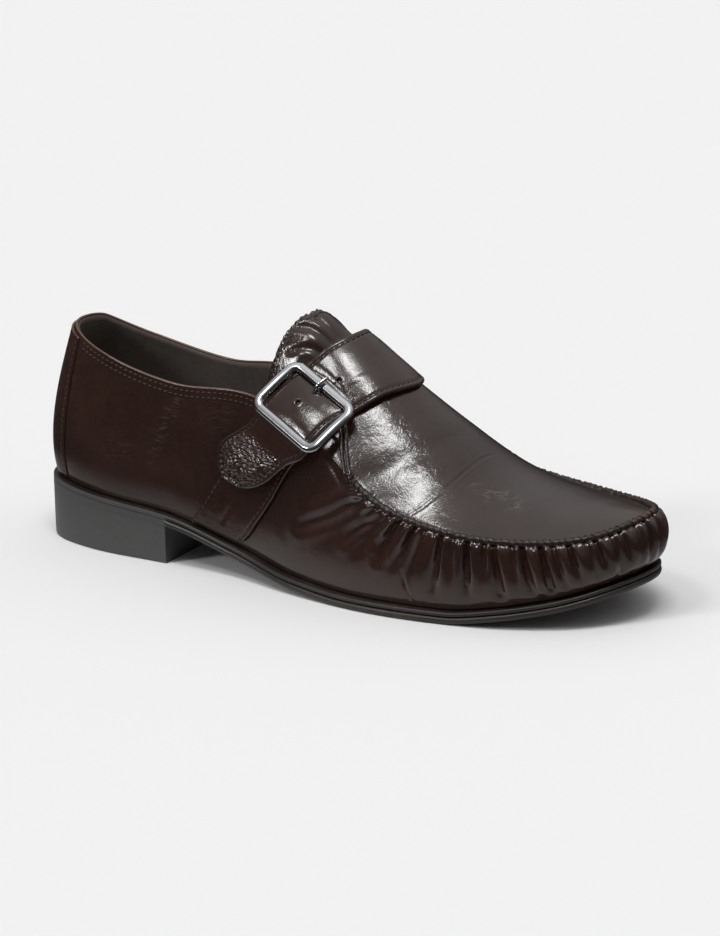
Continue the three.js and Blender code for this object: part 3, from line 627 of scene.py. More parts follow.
# Rubbed wrinkle lines on the quarter, painted lighter: partly wear, partly a painted highlight on the lines. Centre
# as (row, girth), reach in mm, strength
wallRubAndSheen = ((3.05, -1.14, 3, 0.45), (3.0, -1.22, 3, 0.6), (2.95, -1.3, 3, 0.6), (2.9, -1.38, 3, 0.55),
              (2.86, -1.46, 3, 0.45), (2.82, -1.55, 3, 0.35), (2.78, -1.63, 3, 0.25), (2.3, -1.62, 8, 0.2),
              (3.6, -1.2, 9, 0.2), (1.2, -1.25, 8, 0.2))
edgeRow = wallPiece["quarterRows"]
fineColumns = int((toeRow - edgeRow) * 2 * wallPiece["toeColumns"])
coarseColumns = int(edgeRow * wallPiece["quarterColumns"])
wallU = np.concatenate([np.linspace(0, edgeRow, coarseColumns, endpoint=False),
                        np.linspace(edgeRow, ringCount - edgeRow, fineColumns, endpoint=False),
                        np.linspace(ringCount - edgeRow, ringCount, coarseColumns, endpoint=False)])
wallV = np.concatenate([np.linspace(0, wallPiece["highFrom"], wallPiece["lowLevels"], endpoint=False),
                        np.linspace(wallPiece["highFrom"], 1, wallPiece["highLevels"])])
gridU, gridV = np.meshgrid(wallU, wallV, indexing="ij")
wallPoints = wall(gridU, gridV)
wallRelief = gatherRelief(gridU, gridV) + creaseRelief(wallPoints, upperCreases)
collarShare = 1 - smooth(*wallPiece["collarRows"], foldedRow(gridU))
wallMasks = {"crackle": patchMask(wallPoints, wallPatches), "rubAndSheen": patchMask(wallPoints, wallRubAndSheen),
             "rawEdge": collarShare * smooth(wallPiece["rawFrom"], 1.0, gridV),
             # painted shade: the deeper a gather or crease, the darker it is painted
             "shade": wallPiece["grooveShade"] * smooth(*wallPiece["paintedShadeDepths"], wallRelief)}
upperWall, _, _ = sheetShell("upper_wall", wallPoints, wallRelief, -wallPiece["leather"], upperLeather, wallMasks,
                             wrap=True, rimRaw=wallPiece["rimRaw"])
finishPiece(upperWall, "upper_leather", "upper")
print("upper wall", len(upperWall.data.polygons))

# Apron over the toes, from under the strap to the seam
apronPiece = {"firstRow": 5.25, "rowSteps": 210, "edgeLanes": 14, "edgeShare": 0.12, "midLanes": 32, "leather": 1.6,
              "sink": 0.3, "sinkWide": 1.7, "sinkRows": (5.45, 5.75), "tuck": 0.32, "tuckSides": (0.5, 0.85),
              "leastCrackle": 0.3, "rimOut": 0.1}
apronPatches = ((5.6, -0.5, 12, 1.0), (5.95, -0.55, 12, 0.9), (6.25, -0.62, 10, 0.8), (7.1, -0.58, 9, 0.75),
                (7.5, -0.48, 7, 0.7), (5.5, -0.1, 10, 0.35), (6.0, 0.45, 16, 0.5), (5.6, 0.6, 12, 0.5),
                (6.9, 0.4, 9, 0.4))
# Rubbed fine lines on the apron, painted lighter: partly wear, partly a painted highlight where the lines catch the
# light
apronRubAndSheen = ((6.92, -0.48, 4, 0.7), (7.15, -0.43, 5, 1.3), (7.4, -0.42, 5, 1.5), (7.55, -0.45, 5, 1.2))
edgeLanes = np.linspace(1, 1 - apronPiece["edgeShare"], apronPiece["edgeLanes"], endpoint=False)
midLanes = np.linspace(1 - apronPiece["edgeShare"], 0, apronPiece["midLanes"])
half = np.concatenate([edgeLanes, midLanes])
apronT = np.concatenate([-half, half[:-1][::-1]])
apronRows = np.linspace(apronPiece["firstRow"], toeRow, apronPiece["rowSteps"])
gridRow, gridT = np.meshgrid(apronRows, apronT, indexing="ij")
underStrap = apronPiece["tuck"] * smooth(*apronPiece["tuckSides"], np.abs(gridT))
gridRow = gridRow - underStrap * (toeRow - gridRow) / (toeRow - apronPiece["firstRow"])
apronPoints = apronPoint(gridRow, gridT)
seamEdge = np.where((gridT < 0)[..., None], apronPoints[:, :1], apronPoints[:, -1:])
seamGap = np.linalg.norm(apronPoints - seamEdge, axis=-1)
sinkShare = apronPiece["sink"] * smooth(*apronPiece["sinkRows"], gridRow)
apronRelief = creaseRelief(apronPoints, upperCreases) - sinkShare * bell(seamGap, apronPiece["sinkWide"])
apronMasks = {"crackle": np.maximum(apronPiece["leastCrackle"], patchMask(apronPoints, apronPatches)),
              "rubAndSheen": patchMask(apronPoints, apronRubAndSheen)}
apron, _, _ = sheetShell("apron", apronPoints, apronRelief, -apronPiece["leather"], upperLeather, apronMasks,
                         rimOut=apronPiece["rimOut"], weld=True)
finishPiece(apron, "upper_leather", "upper")
print("apron", len(apron.data.polygons))


def tube(name, line, sideways, upward, wide, tall, material, sides, masks=None):
    # Closed roll along a line, wide and tall half sizes for each point
    angle = np.arange(sides) * 2 * np.pi / sides
    wide, tall = np.broadcast_to(wide, len(line)), np.broadcast_to(tall, len(line))
    points = (line[:, None] + sideways[:, None] * (np.cos(angle) * wide[:, None])[..., None]
              + upward[:, None] * (np.sin(angle) * tall[:, None])[..., None])
    n = len(line)
    ids = np.arange(n * sides).reshape(n, sides)
    faces = quadsOf(np.concatenate([ids, ids[:, :1]], 1)).tolist() + [ids[0].tolist(), ids[-1][::-1].tolist()]
    return makeObject(name, points.reshape(-1, 3), faces, material, masks)


# Raised roll of the moccasin seam, pinched at every stitch
rollPiece = {"firstRow": 5.56, "lastRow": 9.9, "step": 0.5, "sides": 14, "wide": 1.6, "tall": 1.7, "rise": 0.7,
             "bury": 0.3, "pinch": 0.16, "pinchWide": 1.0, "taper": (-2, 9.0), "worn": 0.8, "wornReach": 9.0,
             "rowStep": 0.01, "besideSeam": 0.94}


def seamFrame(u):
    step, beside = rollPiece["rowStep"], rollPiece["besideSeam"]
    along = unit(topline(u + step) - topline(u - step))
    side = np.where(u > toeRow, 1.0, -1.0)
    down = unit(wall(u, np.full(u.shape, beside)) - topline(u))
    inward = unit(apronPoint(np.minimum(foldedRow(u), rollPiece["lastRow"]), side * beside) - topline(u))
    upward = unit(-(down + inward))
    upward = unit(upward - along * np.sum(upward * along, -1, keepdims=True))
    return unit(np.cross(upward, along)), upward


def rollCentre(u, upward, size):
    return topline(u) + upward * (rollPiece["rise"] * size - rollPiece["bury"])[:, None]


rollEnds = np.array([rollPiece["firstRow"], ringCount - rollPiece["firstRow"]])
rollLow, rollHigh = np.interp(rollEnds, arcRows, arcAt)
rollArc = np.arange(rollLow, rollHigh, rollPiece["step"])
rollU = np.interp(rollArc, arcAt, arcRows)
rollSide, rollUp = seamFrame(rollU)
stitchArc = np.array([place for k, place in gatherPlaces])
pinch = bell(np.abs(rollArc[:, None] - stitchArc).min(1), rollPiece["pinchWide"])
fromEnd = np.minimum(rollArc - rollLow, rollHigh - rollArc)
rollSize = smooth(*rollPiece["taper"], fromEnd) * (1 - rollPiece["pinch"] * pinch)
wornTip = bell(rollArc, rollPiece["wornReach"])
rollAngle = np.arange(rollPiece["sides"]) * 2 * np.pi / rollPiece["sides"]
wornTop = np.clip(np.sin(rollAngle), 0, 1) ** 2
seamRoll = tube("seam_roll", rollCentre(rollU, rollUp, rollSize), rollSide, rollUp, rollPiece["wide"] * rollSize,
                rollPiece["tall"] * rollSize, seamLeather, rollPiece["sides"],
                {"rawEdge": rollPiece["worn"] * wornTip[:, None] * wornTop})
finishPiece(seamRoll, "upper_leather")
print("seam roll", len(seamRoll.data.polygons))

# Doubled seam from the end of the roll up beside the throat
throatPiece = {"path": ((5.62, -1.02), (5.5, -0.97), (5.38, -0.9), (5.28, -0.82), (5.2, -0.76), (5.12, -0.7)),
               "steps": 60, "sides": 10, "apart": 2.1, "wide": 0.95, "tall": 1.1, "lift": 0.55,
               "ends": (0.06, 0.94), "endPower": 0.35}
for side in (-1, 1):
    places = polyline(throatPiece["path"], throatPiece["steps"]) * (1, -side)
    rows, girths = places.T
    centreLine = girthPoint(rows, girths)
    nudge = lastForm["rowStep"]
    lengthways = girthPoint(rows + nudge, girths) - girthPoint(rows - nudge, girths)
    crossways = girthPoint(rows, girths + nudge) - girthPoint(rows, girths - nudge)
    rise = unit(np.cross(lengthways, crossways))
    forward = unit(np.gradient(centreLine, axis=0))
    beside = unit(np.cross(rise, forward))
    fade = np.sin(np.pi * np.linspace(*throatPiece["ends"], len(places))) ** throatPiece["endPower"]
    for shiftSide in (-0.5, 0.5):
        rope = centreLine + beside * throatPiece["apart"] * shiftSide + rise * throatPiece["lift"]
        name = "throat_seam_" + ("outer" if side < 0 else "inner") + ("_rear" if shiftSide * side > 0 else "_front")
        seam = tube(name, rope, beside, rise, throatPiece["wide"] * fade, throatPiece["tall"] * fade, upperLeather,
                    throatPiece["sides"])
        finishPiece(seam, "upper_leather")

# Lining inside the quarters and toe
liningPiece = {"columns": 260, "levels": 26, "bottom": 0.01, "top": 0.99, "far": -1.3, "near": -2.0,
               "raw": 0.4, "rawFrom": 0.985, "rimOut": 0.1}
liningU, liningV = np.meshgrid(np.arange(liningPiece["columns"]) * ringCount / liningPiece["columns"],
                               np.linspace(liningPiece["bottom"], liningPiece["top"], liningPiece["levels"]),
                               indexing="ij")
liningRaw = liningPiece["raw"] * smooth(liningPiece["rawFrom"], liningPiece["top"], liningV)
lining, _, _ = sheetShell("lining", wall(liningU, liningV), liningPiece["far"], liningPiece["near"], liningLeather,
                          {"rawEdge": liningRaw}, wrap=True, rimOut=liningPiece["rimOut"])
finishPiece(lining, "lining_leather")
print("seams and lining made")

# Bands: strap and outer saddle, as tables of rear and front edge on the shoe
strapSections = {  # girthRear, rowRear, girthFront, rowFront, lift
    "medialSole": (1.97, 3.85, 1.97, 4.45, 0.8),
    "medialWall": (1.45, 4.15, 1.45, 4.8, 0.8),
    "medialTop": (1, 4.45, 1, 5.1, 1.3),
    "medialInstep": (0.5, 4.7, 0.5, 5.38, 0.9),
    "ridge": (0, 4.83, 0, 5.57, 1.1),
    "lateralInstep": (-0.42, 4.66, -0.46, 5.4, 2.2),
    "instepBar": (-0.66, 4.51, -0.69, 5.28, 1),
    "centreBar": (-0.86, 4.35, -0.88, 5.17, 3.1),
    "tabBar": (-1.1, 4.22, -1.13, 5.04, 5.2),
    "tabNeck": (-1.22, 4.03, -1.28, 4.77, 4.9),
    "tabBend": (-1.35, 3.78, -1.41, 4.58, 5.6),
    "tabEnd": (-1.54, 3.65, -1.58, 4.4, 6.8),
}
bandSections = {
    "barEnd": (-0.97, 4.39, -0.98, 5.1, 1.7),
    "top": (-1.12, 4.22, -1.14, 4.96, 1.5),
    "high": (-1.32, 3.95, -1.32, 4.72, 0.8),
    "middle": (-1.58, 3.73, -1.58, 4.49, 0.6),
    "low": (-1.8, 3.52, -1.8, 4.26, 0.6),
    "sole": (-1.98, 3.37, -1.98, 4.08, 0.7),
}


def bandGrid(table, positions, sides, widthShare=None):
    girthRear, rowRear, girthFront, rowFront, lift = np.array(list(table.values()), float).T
    position, side = np.meshgrid(positions, sides, indexing="ij")
    share = side if widthShare is None else 0.5 + (side - 0.5) * widthShare(position)
    row = alongRows(rowRear, position) * (1 - share) + alongRows(rowFront, position) * share
    girth = alongRows(girthRear, position) * (1 - share) + alongRows(girthFront, position) * share
    return saddle(row, girth), alongRows(lift, position), position, side


def edgeGap(points):
    # Distance of every grid point from the nearer long edge, along its own row
    steps = np.linalg.norm(np.diff(points, axis=1), axis=-1)
    across = np.concatenate([np.zeros((len(points), 1)), np.cumsum(steps, 1)], 1)
    return np.minimum(across, across[:, -1:] - across)


# Buckle's own frame on the strap: across it, along it to the instep, and out
bucklePiece = {"row": 4.79, "girth": -0.876, "rowStep": 0.02, "lift": 6.5, "turn": -1.6, "tilt": -11.5, "width": 42.6,
               "length": 30.0, "shift": 0.6, "barWidth": 4.3, "barThick": 2.8, "cornerRadius": 6.5, "bendRadius": 110,
               "cornerSteps": 10, "sideSteps": 8, "centreBar": 1.1, "centreSides": 12, "centreDepth": 5.5,
               "centreHalf": 18.6}


def turned(vector, axis, degrees):
    angle = math.radians(degrees)
    return (vector * math.cos(angle) + np.cross(axis, vector) * math.sin(angle)
            + axis * (axis @ vector) * (1 - math.cos(angle)))


def buckleAxes():
    row, girth, step = (bucklePiece[key] for key in ("row", "girth", "rowStep"))

    def at(r, g):
        return saddle(np.array([r]), np.array([g]))[0]

    forward = unit(at(row + step, girth) - at(row - step, girth))
    upward = unit(at(row, girth + step) - at(row, girth - step))
    out = unit(np.cross(forward, upward))
    centre = at(row, girth) + out * bucklePiece["lift"]
    across = turned(forward, out, bucklePiece["turn"])
    along = np.cross(out, across)
    return centre, across, turned(along, across, bucklePiece["tilt"]), turned(out, across, bucklePiece["tilt"])


buckleCentre, buckleAcross, buckleAlong, buckleOut = buckleAxes()


def onBuckle(x, y, height):
    x, y, height = (np.asarray(k, float)[..., None] for k in (x, y, height))
    bend = bucklePiece["bendRadius"]
    return (buckleCentre + buckleAcross * x + buckleAlong * (bend + height) * np.sin(y / bend)
            + buckleOut * ((bend + height) * np.cos(y / bend) - bend))


# Strap from the inner sole over the instep, through the buckle to the rounded tab
strapPiece = {
    "runs": ((0, 5, 80), (5, 8.4, 130), (8.4, 9.9, 56)),  # from, to and steps, counted in sections
    "tabStart": 9.9, "tabReach": 1.1, "tabSteps": 60, "tabBlunt": 0.25, "tabWidth": 31, "across": 84, "thick": 2.0,
    "stitchInset": 2.4, "stitchPitch": 2.9, "stitchGroove": 0.3, "grooveWide": 0.7, "edgeFall": 0.45, "edgeWide": 0.5,
    "puff": 2.0, "puffEdge": (1.5, 10.0), "padding": 0.25, "paddingEdge": (2, 9), "rearFlare": 3.2, "flareWide": 0.9,
    "swell": 2.6, "swellBase": -2.2, "pucker": 0.65, "puckerShift": 0.9, "puckerWide": 1.5, "pebble": 0.24,
    "pebbleEdge": (2.6, 5.0), "creaseHeight": -4.0, "rimOut": 0.3,
    "holes": ((2.0, 19.5), (-2.5, 0.5), (-0.5, 9.0)), "holeRadius": 1.15, "holeDepth": 1.3, "holeReach": 12,
    "holeWall": (0.55, 1.0), "holeShade": (0.6, 0.95), "holeLip": 0.12, "lipAt": 1.5, "lipWide": 0.4,
    "crackleEdge": (1.5, 5), "barCrackle": 0.8, "barWide": 0.5, "barSide": (0.35, 0.8)}
strapZones = {  # places along the strap, counted in sections
    "tab": (8.6, 9.4), "tabEnd": 9.5, "openFrom": (4.6, 5.4), "openTo": (8.3, 8.9), "puff": (8.7, 10.3),
    "pucker": 8.3, "frameFrom": 5, "frameTo": 9, "flare": 3.9, "barCrackle": 5.35}
pebbleWaves = {"along": (2.2, 1.4, 0.7), "across": (1.2, 1.3, 0.9), "slant": (2.7, 0.9, 1.1), "slantShare": 0.5}
strapCreases = {  # across and along the buckle, in mm
    "holeLine": ([(3.2, 19.0), (6.5, 24), (8, 31)], 0.5, 0.3),
    "barPinch": ([(-14, 15.5), (-4, 17), (6, 16.5), (15, 15)], 1.6, 0.35),
}


def tabShare(position):
    last = len(strapSections) - 1
    reach = math.sqrt(1 - strapPiece["tabBlunt"] ** 2)
    f = reach * np.clip((position - strapPiece["tabStart"]) / (last - strapPiece["tabStart"]), 0, 1)
    return np.sqrt(1 - f * f)


def swaying(first, second, pace, bend, bendPace):
    return np.sin(pace * first + bend * np.sin(bendPace * second))


def creaseLine(across, along):
    return onBuckle(across, along, np.full(len(across), strapPiece["creaseHeight"]))


tabCurve = np.sin(np.linspace(0, np.pi / 2, strapPiece["tabSteps"]))
strapPositions = np.concatenate([np.linspace(*run, endpoint=False) for run in strapPiece["runs"]]
                                + [strapPiece["tabStart"] + strapPiece["tabReach"] * tabCurve])
strapPoints, strapLift, strapAt, strapSide = bandGrid(strapSections, strapPositions,
                                                      np.linspace(0, 1, strapPiece["across"]), tabShare)
strapGap = edgeGap(strapPoints)
tabZone = smooth(*strapZones["tab"], strapAt)
endGap = np.linalg.norm(strapPoints - strapPoints[-1:, :], axis=-1)
strapGap = np.minimum(strapGap, np.where(strapAt > strapZones["tabEnd"], endGap, farAway))
openZone = smooth(*strapZones["openFrom"], strapAt) * (1 - smooth(*strapZones["openTo"], strapAt))
strapRelief = (-strapPiece["stitchGroove"] * bell(strapGap - strapPiece["stitchInset"], strapPiece["grooveWide"])
               - strapPiece["edgeFall"] * bell(strapGap, strapPiece["edgeWide"])
               + strapPiece["puff"] * smooth(*strapZones["puff"], strapAt) * smooth(*strapPiece["puffEdge"], strapGap)
               + strapPiece["padding"] * (1 - openZone) * smooth(*strapPiece["paddingEdge"], strapGap))
strapRelief = strapRelief + creaseRelief(strapPoints, strapCreases, creaseLine)
rearFlare = strapPiece["rearFlare"] * (1 - strapSide) ** 2
strapRelief = strapRelief + rearFlare * bell(strapAt - strapZones["flare"], strapPiece["flareWide"])

# Inside the buckle the leather swells up to the frame
strapTop = strapPoints + gridNormals(strapPoints) * (strapLift + strapPiece["thick"])[..., None] - buckleCentre
windowHalfX = bucklePiece["width"] / 2 - bucklePiece["barWidth"]
windowHalfY = bucklePiece["length"] / 2 - bucklePiece["barWidth"]
besideX = np.abs(strapTop @ buckleAcross - bucklePiece["shift"]) / windowHalfX
besideY = np.abs(strapTop @ buckleAlong) / windowHalfY
pillow = np.sqrt(np.clip(1 - besideX ** 2, 0, 1) * np.clip(1 - besideY ** 2, 0, 1))
swollen = strapPiece["swell"] * pillow + strapPiece["swellBase"] - strapTop @ buckleOut
inFrame = (strapAt > strapZones["frameFrom"]) & (strapAt < strapZones["frameTo"]) & (pillow > 0)
strapRelief = strapRelief + np.where(inFrame, np.maximum(0, swollen), 0)

# Pebbled, puckered tab
alongTab = runLength(strapPoints[:, strapPiece["across"] // 2])[:, None]
acrossTab = (strapSide - 0.5) * strapPiece["tabWidth"]
slantAlong, slantAcross, slantBend = pebbleWaves["slant"]
slanted = np.sin(slantAlong * alongTab + slantAcross * acrossTab + np.sin(slantBend * acrossTab))
pebbles = (swaying(alongTab, acrossTab, *pebbleWaves["along"]) * swaying(acrossTab, alongTab, *pebbleWaves["across"])
           + pebbleWaves["slantShare"] * slanted)
strapRelief = strapRelief + strapPiece["pebble"] * tabZone * smooth(*strapPiece["pebbleEdge"], strapGap) * pebbles
tabEdge = boundary(strapPoints, ("rear", "end", "-front"))
tabRun = runLength(tabEdge)
tabRows = np.nonzero(strapPositions > strapZones["pucker"])[0]
nearest = np.array([np.argmin(np.sum((tabEdge - spot) ** 2, 1)) for spot in strapPoints[tabRows].reshape(-1, 3)])
tuck = np.cos(2 * np.pi * tabRun[nearest] / strapPiece["stitchPitch"]).reshape(len(tabRows), -1)
puckerGap = strapGap[tabRows] - strapPiece["stitchInset"] - strapPiece["puckerShift"]
strapRelief[tabRows] -= (strapPiece["pucker"] * tabZone[tabRows] * (0.5 + 0.5 * tuck)
                         * bell(puckerGap, strapPiece["puckerWide"]))
# Punched holes, with painted shade darkening the inside of each hole
strapShade = np.zeros(strapGap.shape)
for across, along in strapPiece["holes"]:
    fromAxis = strapPoints + gridNormals(strapPoints) * strapLift[..., None] - onBuckle(across, along, 0.0)
    gap = np.linalg.norm(fromAxis - (fromAxis @ buckleOut)[..., None] * buckleOut, axis=-1)
    gap = np.where(np.abs(fromAxis @ buckleOut) < strapPiece["holeReach"], gap, farAway)
    holeShare = gap / strapPiece["holeRadius"]
    strapRelief = (strapRelief - strapPiece["holeDepth"] * (1 - smooth(*strapPiece["holeWall"], holeShare))
                   + strapPiece["holeLip"] * bell(gap - strapPiece["lipAt"], strapPiece["lipWide"]))
    strapShade = np.maximum(strapShade, 1 - smooth(*strapPiece["holeShade"], holeShare))
barCrackle = bell(strapAt - strapZones["barCrackle"], strapPiece["barWide"])
barCrackle = barCrackle * smooth(*strapPiece["barSide"], strapSide)
strapCrackle = np.maximum(tabZone * smooth(*strapPiece["crackleEdge"], strapGap),
                          strapPiece["barCrackle"] * barCrackle)
strap, strapOuter, strapNormal = sheetShell(
    "strap_leather", strapPoints, strapLift + strapPiece["thick"] + strapRelief, strapLift, strapLeather,
    {"crackle": strapCrackle, "rawEdge": np.zeros(strapGap.shape), "shade": strapShade}, rimOut=strapPiece["rimOut"])
finishPiece(strap, "strap_leather", "strap")
print("strap", len(strap.data.polygons))

# Saddle band on the outer side
bandPiece = {"thick": 1.4, "steps": 130, "across": 44, "stitchInset": 2.0, "rearInset": 1.2, "groove": 0.25,
             "grooveWide": 0.6, "grooveSide": (0.4, 0.6), "patches": ((3.85, -1.78, 9, 0.5),)}
bandCreases = {"fold": ([(3.82, -1.86), (3.88, -1.78), (3.95, -1.7)], 1.2, 0.4),
               "second": ([(3.7, -1.8), (3.78, -1.72), (3.86, -1.62)], 1.0, 0.3)}
bandPoints, bandLift, _, bandSide = bandGrid(bandSections, np.linspace(0, len(bandSections) - 1, bandPiece["steps"]),
                                             np.linspace(0, 1, bandPiece["across"]))
bandGap = edgeGap(bandPoints)
bandGroove = -bandPiece["groove"] * bell(bandGap - bandPiece["stitchInset"], bandPiece["grooveWide"])
bandRelief = bandGroove * smooth(*bandPiece["grooveSide"], bandSide) + creaseRelief(bandPoints, bandCreases)
band, bandOuter, bandNormal = sheetShell(
    "lateral_saddle", bandPoints, bandLift + bandPiece["thick"] + bandRelief, bandLift, upperLeather,
    {"crackle": patchMask(bandPoints, bandPiece["patches"]), "rawEdge": np.zeros(bandGap.shape)})
finishPiece(band, "strap_leather", "lateral_band")

# Backstay over the heel seam
stayPiece = {"halfWidth": 1.3, "lower": 0.03, "upper": 0.97, "lift": 0.3, "near": 0.1, "thick": 1.1, "skived": 0.25,
             "skiveReach": 7, "steps": 60, "raw": 0.5, "rawFrom": 0.955, "stitchInset": 1.8, "stitchLift": -0.13}
stayU, stayV = np.meshgrid(np.linspace(-stayPiece["halfWidth"], stayPiece["halfWidth"], stayPiece["steps"]),
                           np.linspace(stayPiece["lower"], stayPiece["upper"], stayPiece["steps"]), indexing="ij")
stayPoints = wall(stayU, stayV)
unskived = smooth(0, stayPiece["skiveReach"], edgeGap(stayPoints.swapaxes(0, 1)).T)
stayRise = stayPiece["skived"] + (stayPiece["thick"] - stayPiece["skived"]) * unskived
stayRaw = stayPiece["raw"] * smooth(stayPiece["rawFrom"], stayPiece["upper"], stayV)
stay, stayOuter, stayNormal = sheetShell("backstay_strip", stayPoints, stayPiece["lift"] + stayRise,
                                         stayPiece["near"], upperLeather, {"rawEdge": stayRaw})
finishPiece(stay, "upper_leather", "backstay")

# Tongue with a pinked edge and creases that fan out from under the strap
tonguePiece = {"frontRow": 5.18, "topRow": 4.33, "steps": 130, "stepPower": 1.7, "across": 120, "thick": 2.0,
               "sideInset": 4.4, "sideDrop": 7, "roundFrom": 0.55, "roundPower": 3.6, "blunt": 0.93, "lean": 0.06,
               "wide": 0.25, "wideBy": 0.6, "shear": 0.3, "flareFrom": 4.8, "flareTo": 4.4, "flare": 4.0,
               "rounder": 0.9, "stitchInset": 3.2, "tooth": 0.75, "toothPitch": 2.5, "notch": 0.7, "notchReach": 1.4,
               "crackle": 0.35, "crackleRows": (4.3, 4.75)}
tongueCreases = {"left": ([(4.2, -0.42), (4.4, -0.34), (4.66, -0.3)], 1.5, 0.8),
                 "middle": ([(4.16, -0.12), (4.38, -0.18), (4.66, -0.22)], 1.3, 0.7),
                 "right": ([(4.18, 0.22), (4.4, 0.12), (4.66, 0.05)], 1.5, 0.6),
                 "low": ([(4.3, -0.62), (4.5, -0.5), (4.68, -0.45)], 1.4, 0.7)}


def tonguePoint(row, t):
    u = np.where(t < 0, row, ringCount - row)
    edge, _ = soleEdge(u, alongRing(ringInset, u) + tonguePiece["sideInset"])
    edge[..., 2] = alongRing(ringTop, u) - tonguePiece["sideDrop"]
    flared = smooth(tonguePiece["flareFrom"], tonguePiece["flareTo"], row)
    return archTo(row, t, edge, tonguePiece["rounder"] * flared)


tongueAlong, tongueSide = np.meshgrid(np.linspace(0, 1, tonguePiece["steps"]) ** tonguePiece["stepPower"],
                                      np.linspace(0, 1, tonguePiece["across"]), indexing="ij")
tongueRow = tonguePiece["topRow"] + (tonguePiece["frontRow"] - tonguePiece["topRow"]) * tongueAlong
toTop = np.clip((1 - tongueAlong - tonguePiece["roundFrom"]) / (1 - tonguePiece["roundFrom"]), 0, 1)
toTop = toTop * tonguePiece["blunt"]
tongueT = (2 * tongueSide - 1) * np.sqrt(1 - toTop ** tonguePiece["roundPower"])
outerWide = 1 + tonguePiece["wide"] * smooth(0, tonguePiece["wideBy"], toTop)
tongueT = tongueT * np.where(tongueT < 0, outerWide, 1) + tonguePiece["lean"] * toTop
tongueRow = tongueRow - tonguePiece["shear"] * np.maximum(-tongueT, 0) * (1 - tongueAlong)
tonguePoints = tonguePoint(tongueRow, tongueT)
tongueFlare = tonguePiece["flare"] * smooth(tonguePiece["flareFrom"], tonguePiece["flareTo"], tongueRow)
tongueRelief = creaseRelief(tonguePoints, tongueCreases, tonguePoint)
tongueEdge = boundary(tonguePoints, ("-rear", "start", "front"))
edgeRun = runLength(tongueEdge)
edgeFar = np.linalg.norm(tonguePoints[:, :, None] - tongueEdge, axis=-1)
pinked = np.cos(2 * np.pi * edgeRun[edgeFar.argmin(-1)] / tonguePiece["toothPitch"])
notches = tonguePiece["notch"] * (0.5 + 0.5 * pinked)
tongueRelief = tongueRelief - notches * bell(edgeFar.min(-1), tonguePiece["notchReach"])
tongueCrackle = tonguePiece["crackle"] * (1 - smooth(*tonguePiece["crackleRows"], tongueRow))
tongue, tongueOuter, tongueNormal = sheetShell(
    "tongue_leather", tonguePoints, tongueFlare + tongueRelief, tongueFlare - tonguePiece["thick"], upperLeather,
    {"crackle": tongueCrackle, "rawEdge": np.zeros(tongueRow.shape)},
    tooth=tonguePiece["tooth"], toothPitch=tonguePiece["toothPitch"])
finishPiece(tongue, "upper_leather", "tongue")
print("bands and tongue made")


# Sole layers: loops of a rounded edge stacked from the underside, closed by ladders
heelPiece = {"breastRow": 3.0, "breastBlend": 0.02, "columns": 60, "seatGap": 0.05, "flushInset": 0.3,
             "flushBelow": 5.2, "edge": ((1.9, 0.0), (1.2, 0.25), (0.9, 0.9), (0.75, 4), (0.35, None))}


def stackLoops(name, loops, material, sharpAngle=40, masks=None):
    count = len(loops[0])
    ids = np.arange(count * len(loops)).reshape(len(loops), count)
    ring = np.concatenate([ids, ids[:, :1]], 1)
    sides = np.stack([ring[:-1, :-1], ring[:-1, 1:], ring[1:, 1:], ring[1:, :-1]], -1).reshape(-1, 4)
    faces = [list(face) for face in sides]
    for k in range(count // 2):
        rung = [k, k + 1, count - k - 1, (count - k) % count]
        rung = [corner for i, corner in enumerate(rung) if corner != rung[(i + 1) % 4]]
        if len(rung) > 2:
            faces.append([ids[-1, corner] for corner in rung])
            faces.append([ids[0, corner] for corner in rung][::-1])
    return makeObject(name, np.concatenate(loops), faces, material, masks, sharpAngle)


def overHeel(u):
    breast, blend = heelPiece["breastRow"], heelPiece["breastBlend"]
    return 1 - smooth(breast - blend, breast + blend, np.minimum(u, ringCount - u))


def soleLoop(inset, height, count):
    # Over the heel the layers' edges are dressed flush with the block
    u = np.arange(count) * ringCount / count
    flush = overHeel(u) * (height < heelPiece["flushBelow"])
    edge, _ = soleEdge(u, inset + (heelPiece["flushInset"] - inset) * flush)
    edge[:, 2] = soleUnder(edge[:, 0]) + height
    return edge


soleLayers = {  # edge as inset and height above the outsole's underside
    "outsole_leather": ("outsole", "sole_leather", soleLeather,
                        ((2.2, 0), (1.1, 0.12), (0.35, 0.5), (0.05, 1.1), (0, 1.7), (0.1, 2.3), (0.45, 2.9),
                         (1.0, 3.2))),
    "welt_strip": ("welt", "welt_leather", weltLeather,
                   ((1.1, 3.45), (0.55, 3.65), (0.25, 4.0), (0.2, 4.5), (0.3, 5.0), (0.7, 5.4), (1.3, 5.5))),
}
soleColumns = 720
for name, (node, slot, material, edge) in soleLayers.items():
    seat = overHeel(np.arange(soleColumns) * ringCount / soleColumns)
    heelTone = np.concatenate([seat * (height < heelPiece["flushBelow"]) for inset, height in edge])
    loops = [soleLoop(inset, height, soleColumns) for inset, height in edge]
    layer = stackLoops(name, loops, material, masks={"heelTone": heelTone})
    finishPiece(layer, slot, node)

heelRows = np.linspace(0, heelPiece["breastRow"], heelPiece["columns"] + 1)
heelAround = np.concatenate([heelRows, ringCount - heelRows[:0:-1]])
heelLoops = []
for inset, height in heelPiece["edge"]:
    loop, _ = soleEdge(heelAround, np.full(len(heelAround), inset))
    loop[:, 2] = soleUnder(loop[:, 0]) - heelPiece["seatGap"] if height is None else height
    heelLoops.append(loop)
heel = stackLoops("heel_block", heelLoops, heelRubber)
finishPiece(heel, "heel_rubber", "heel")

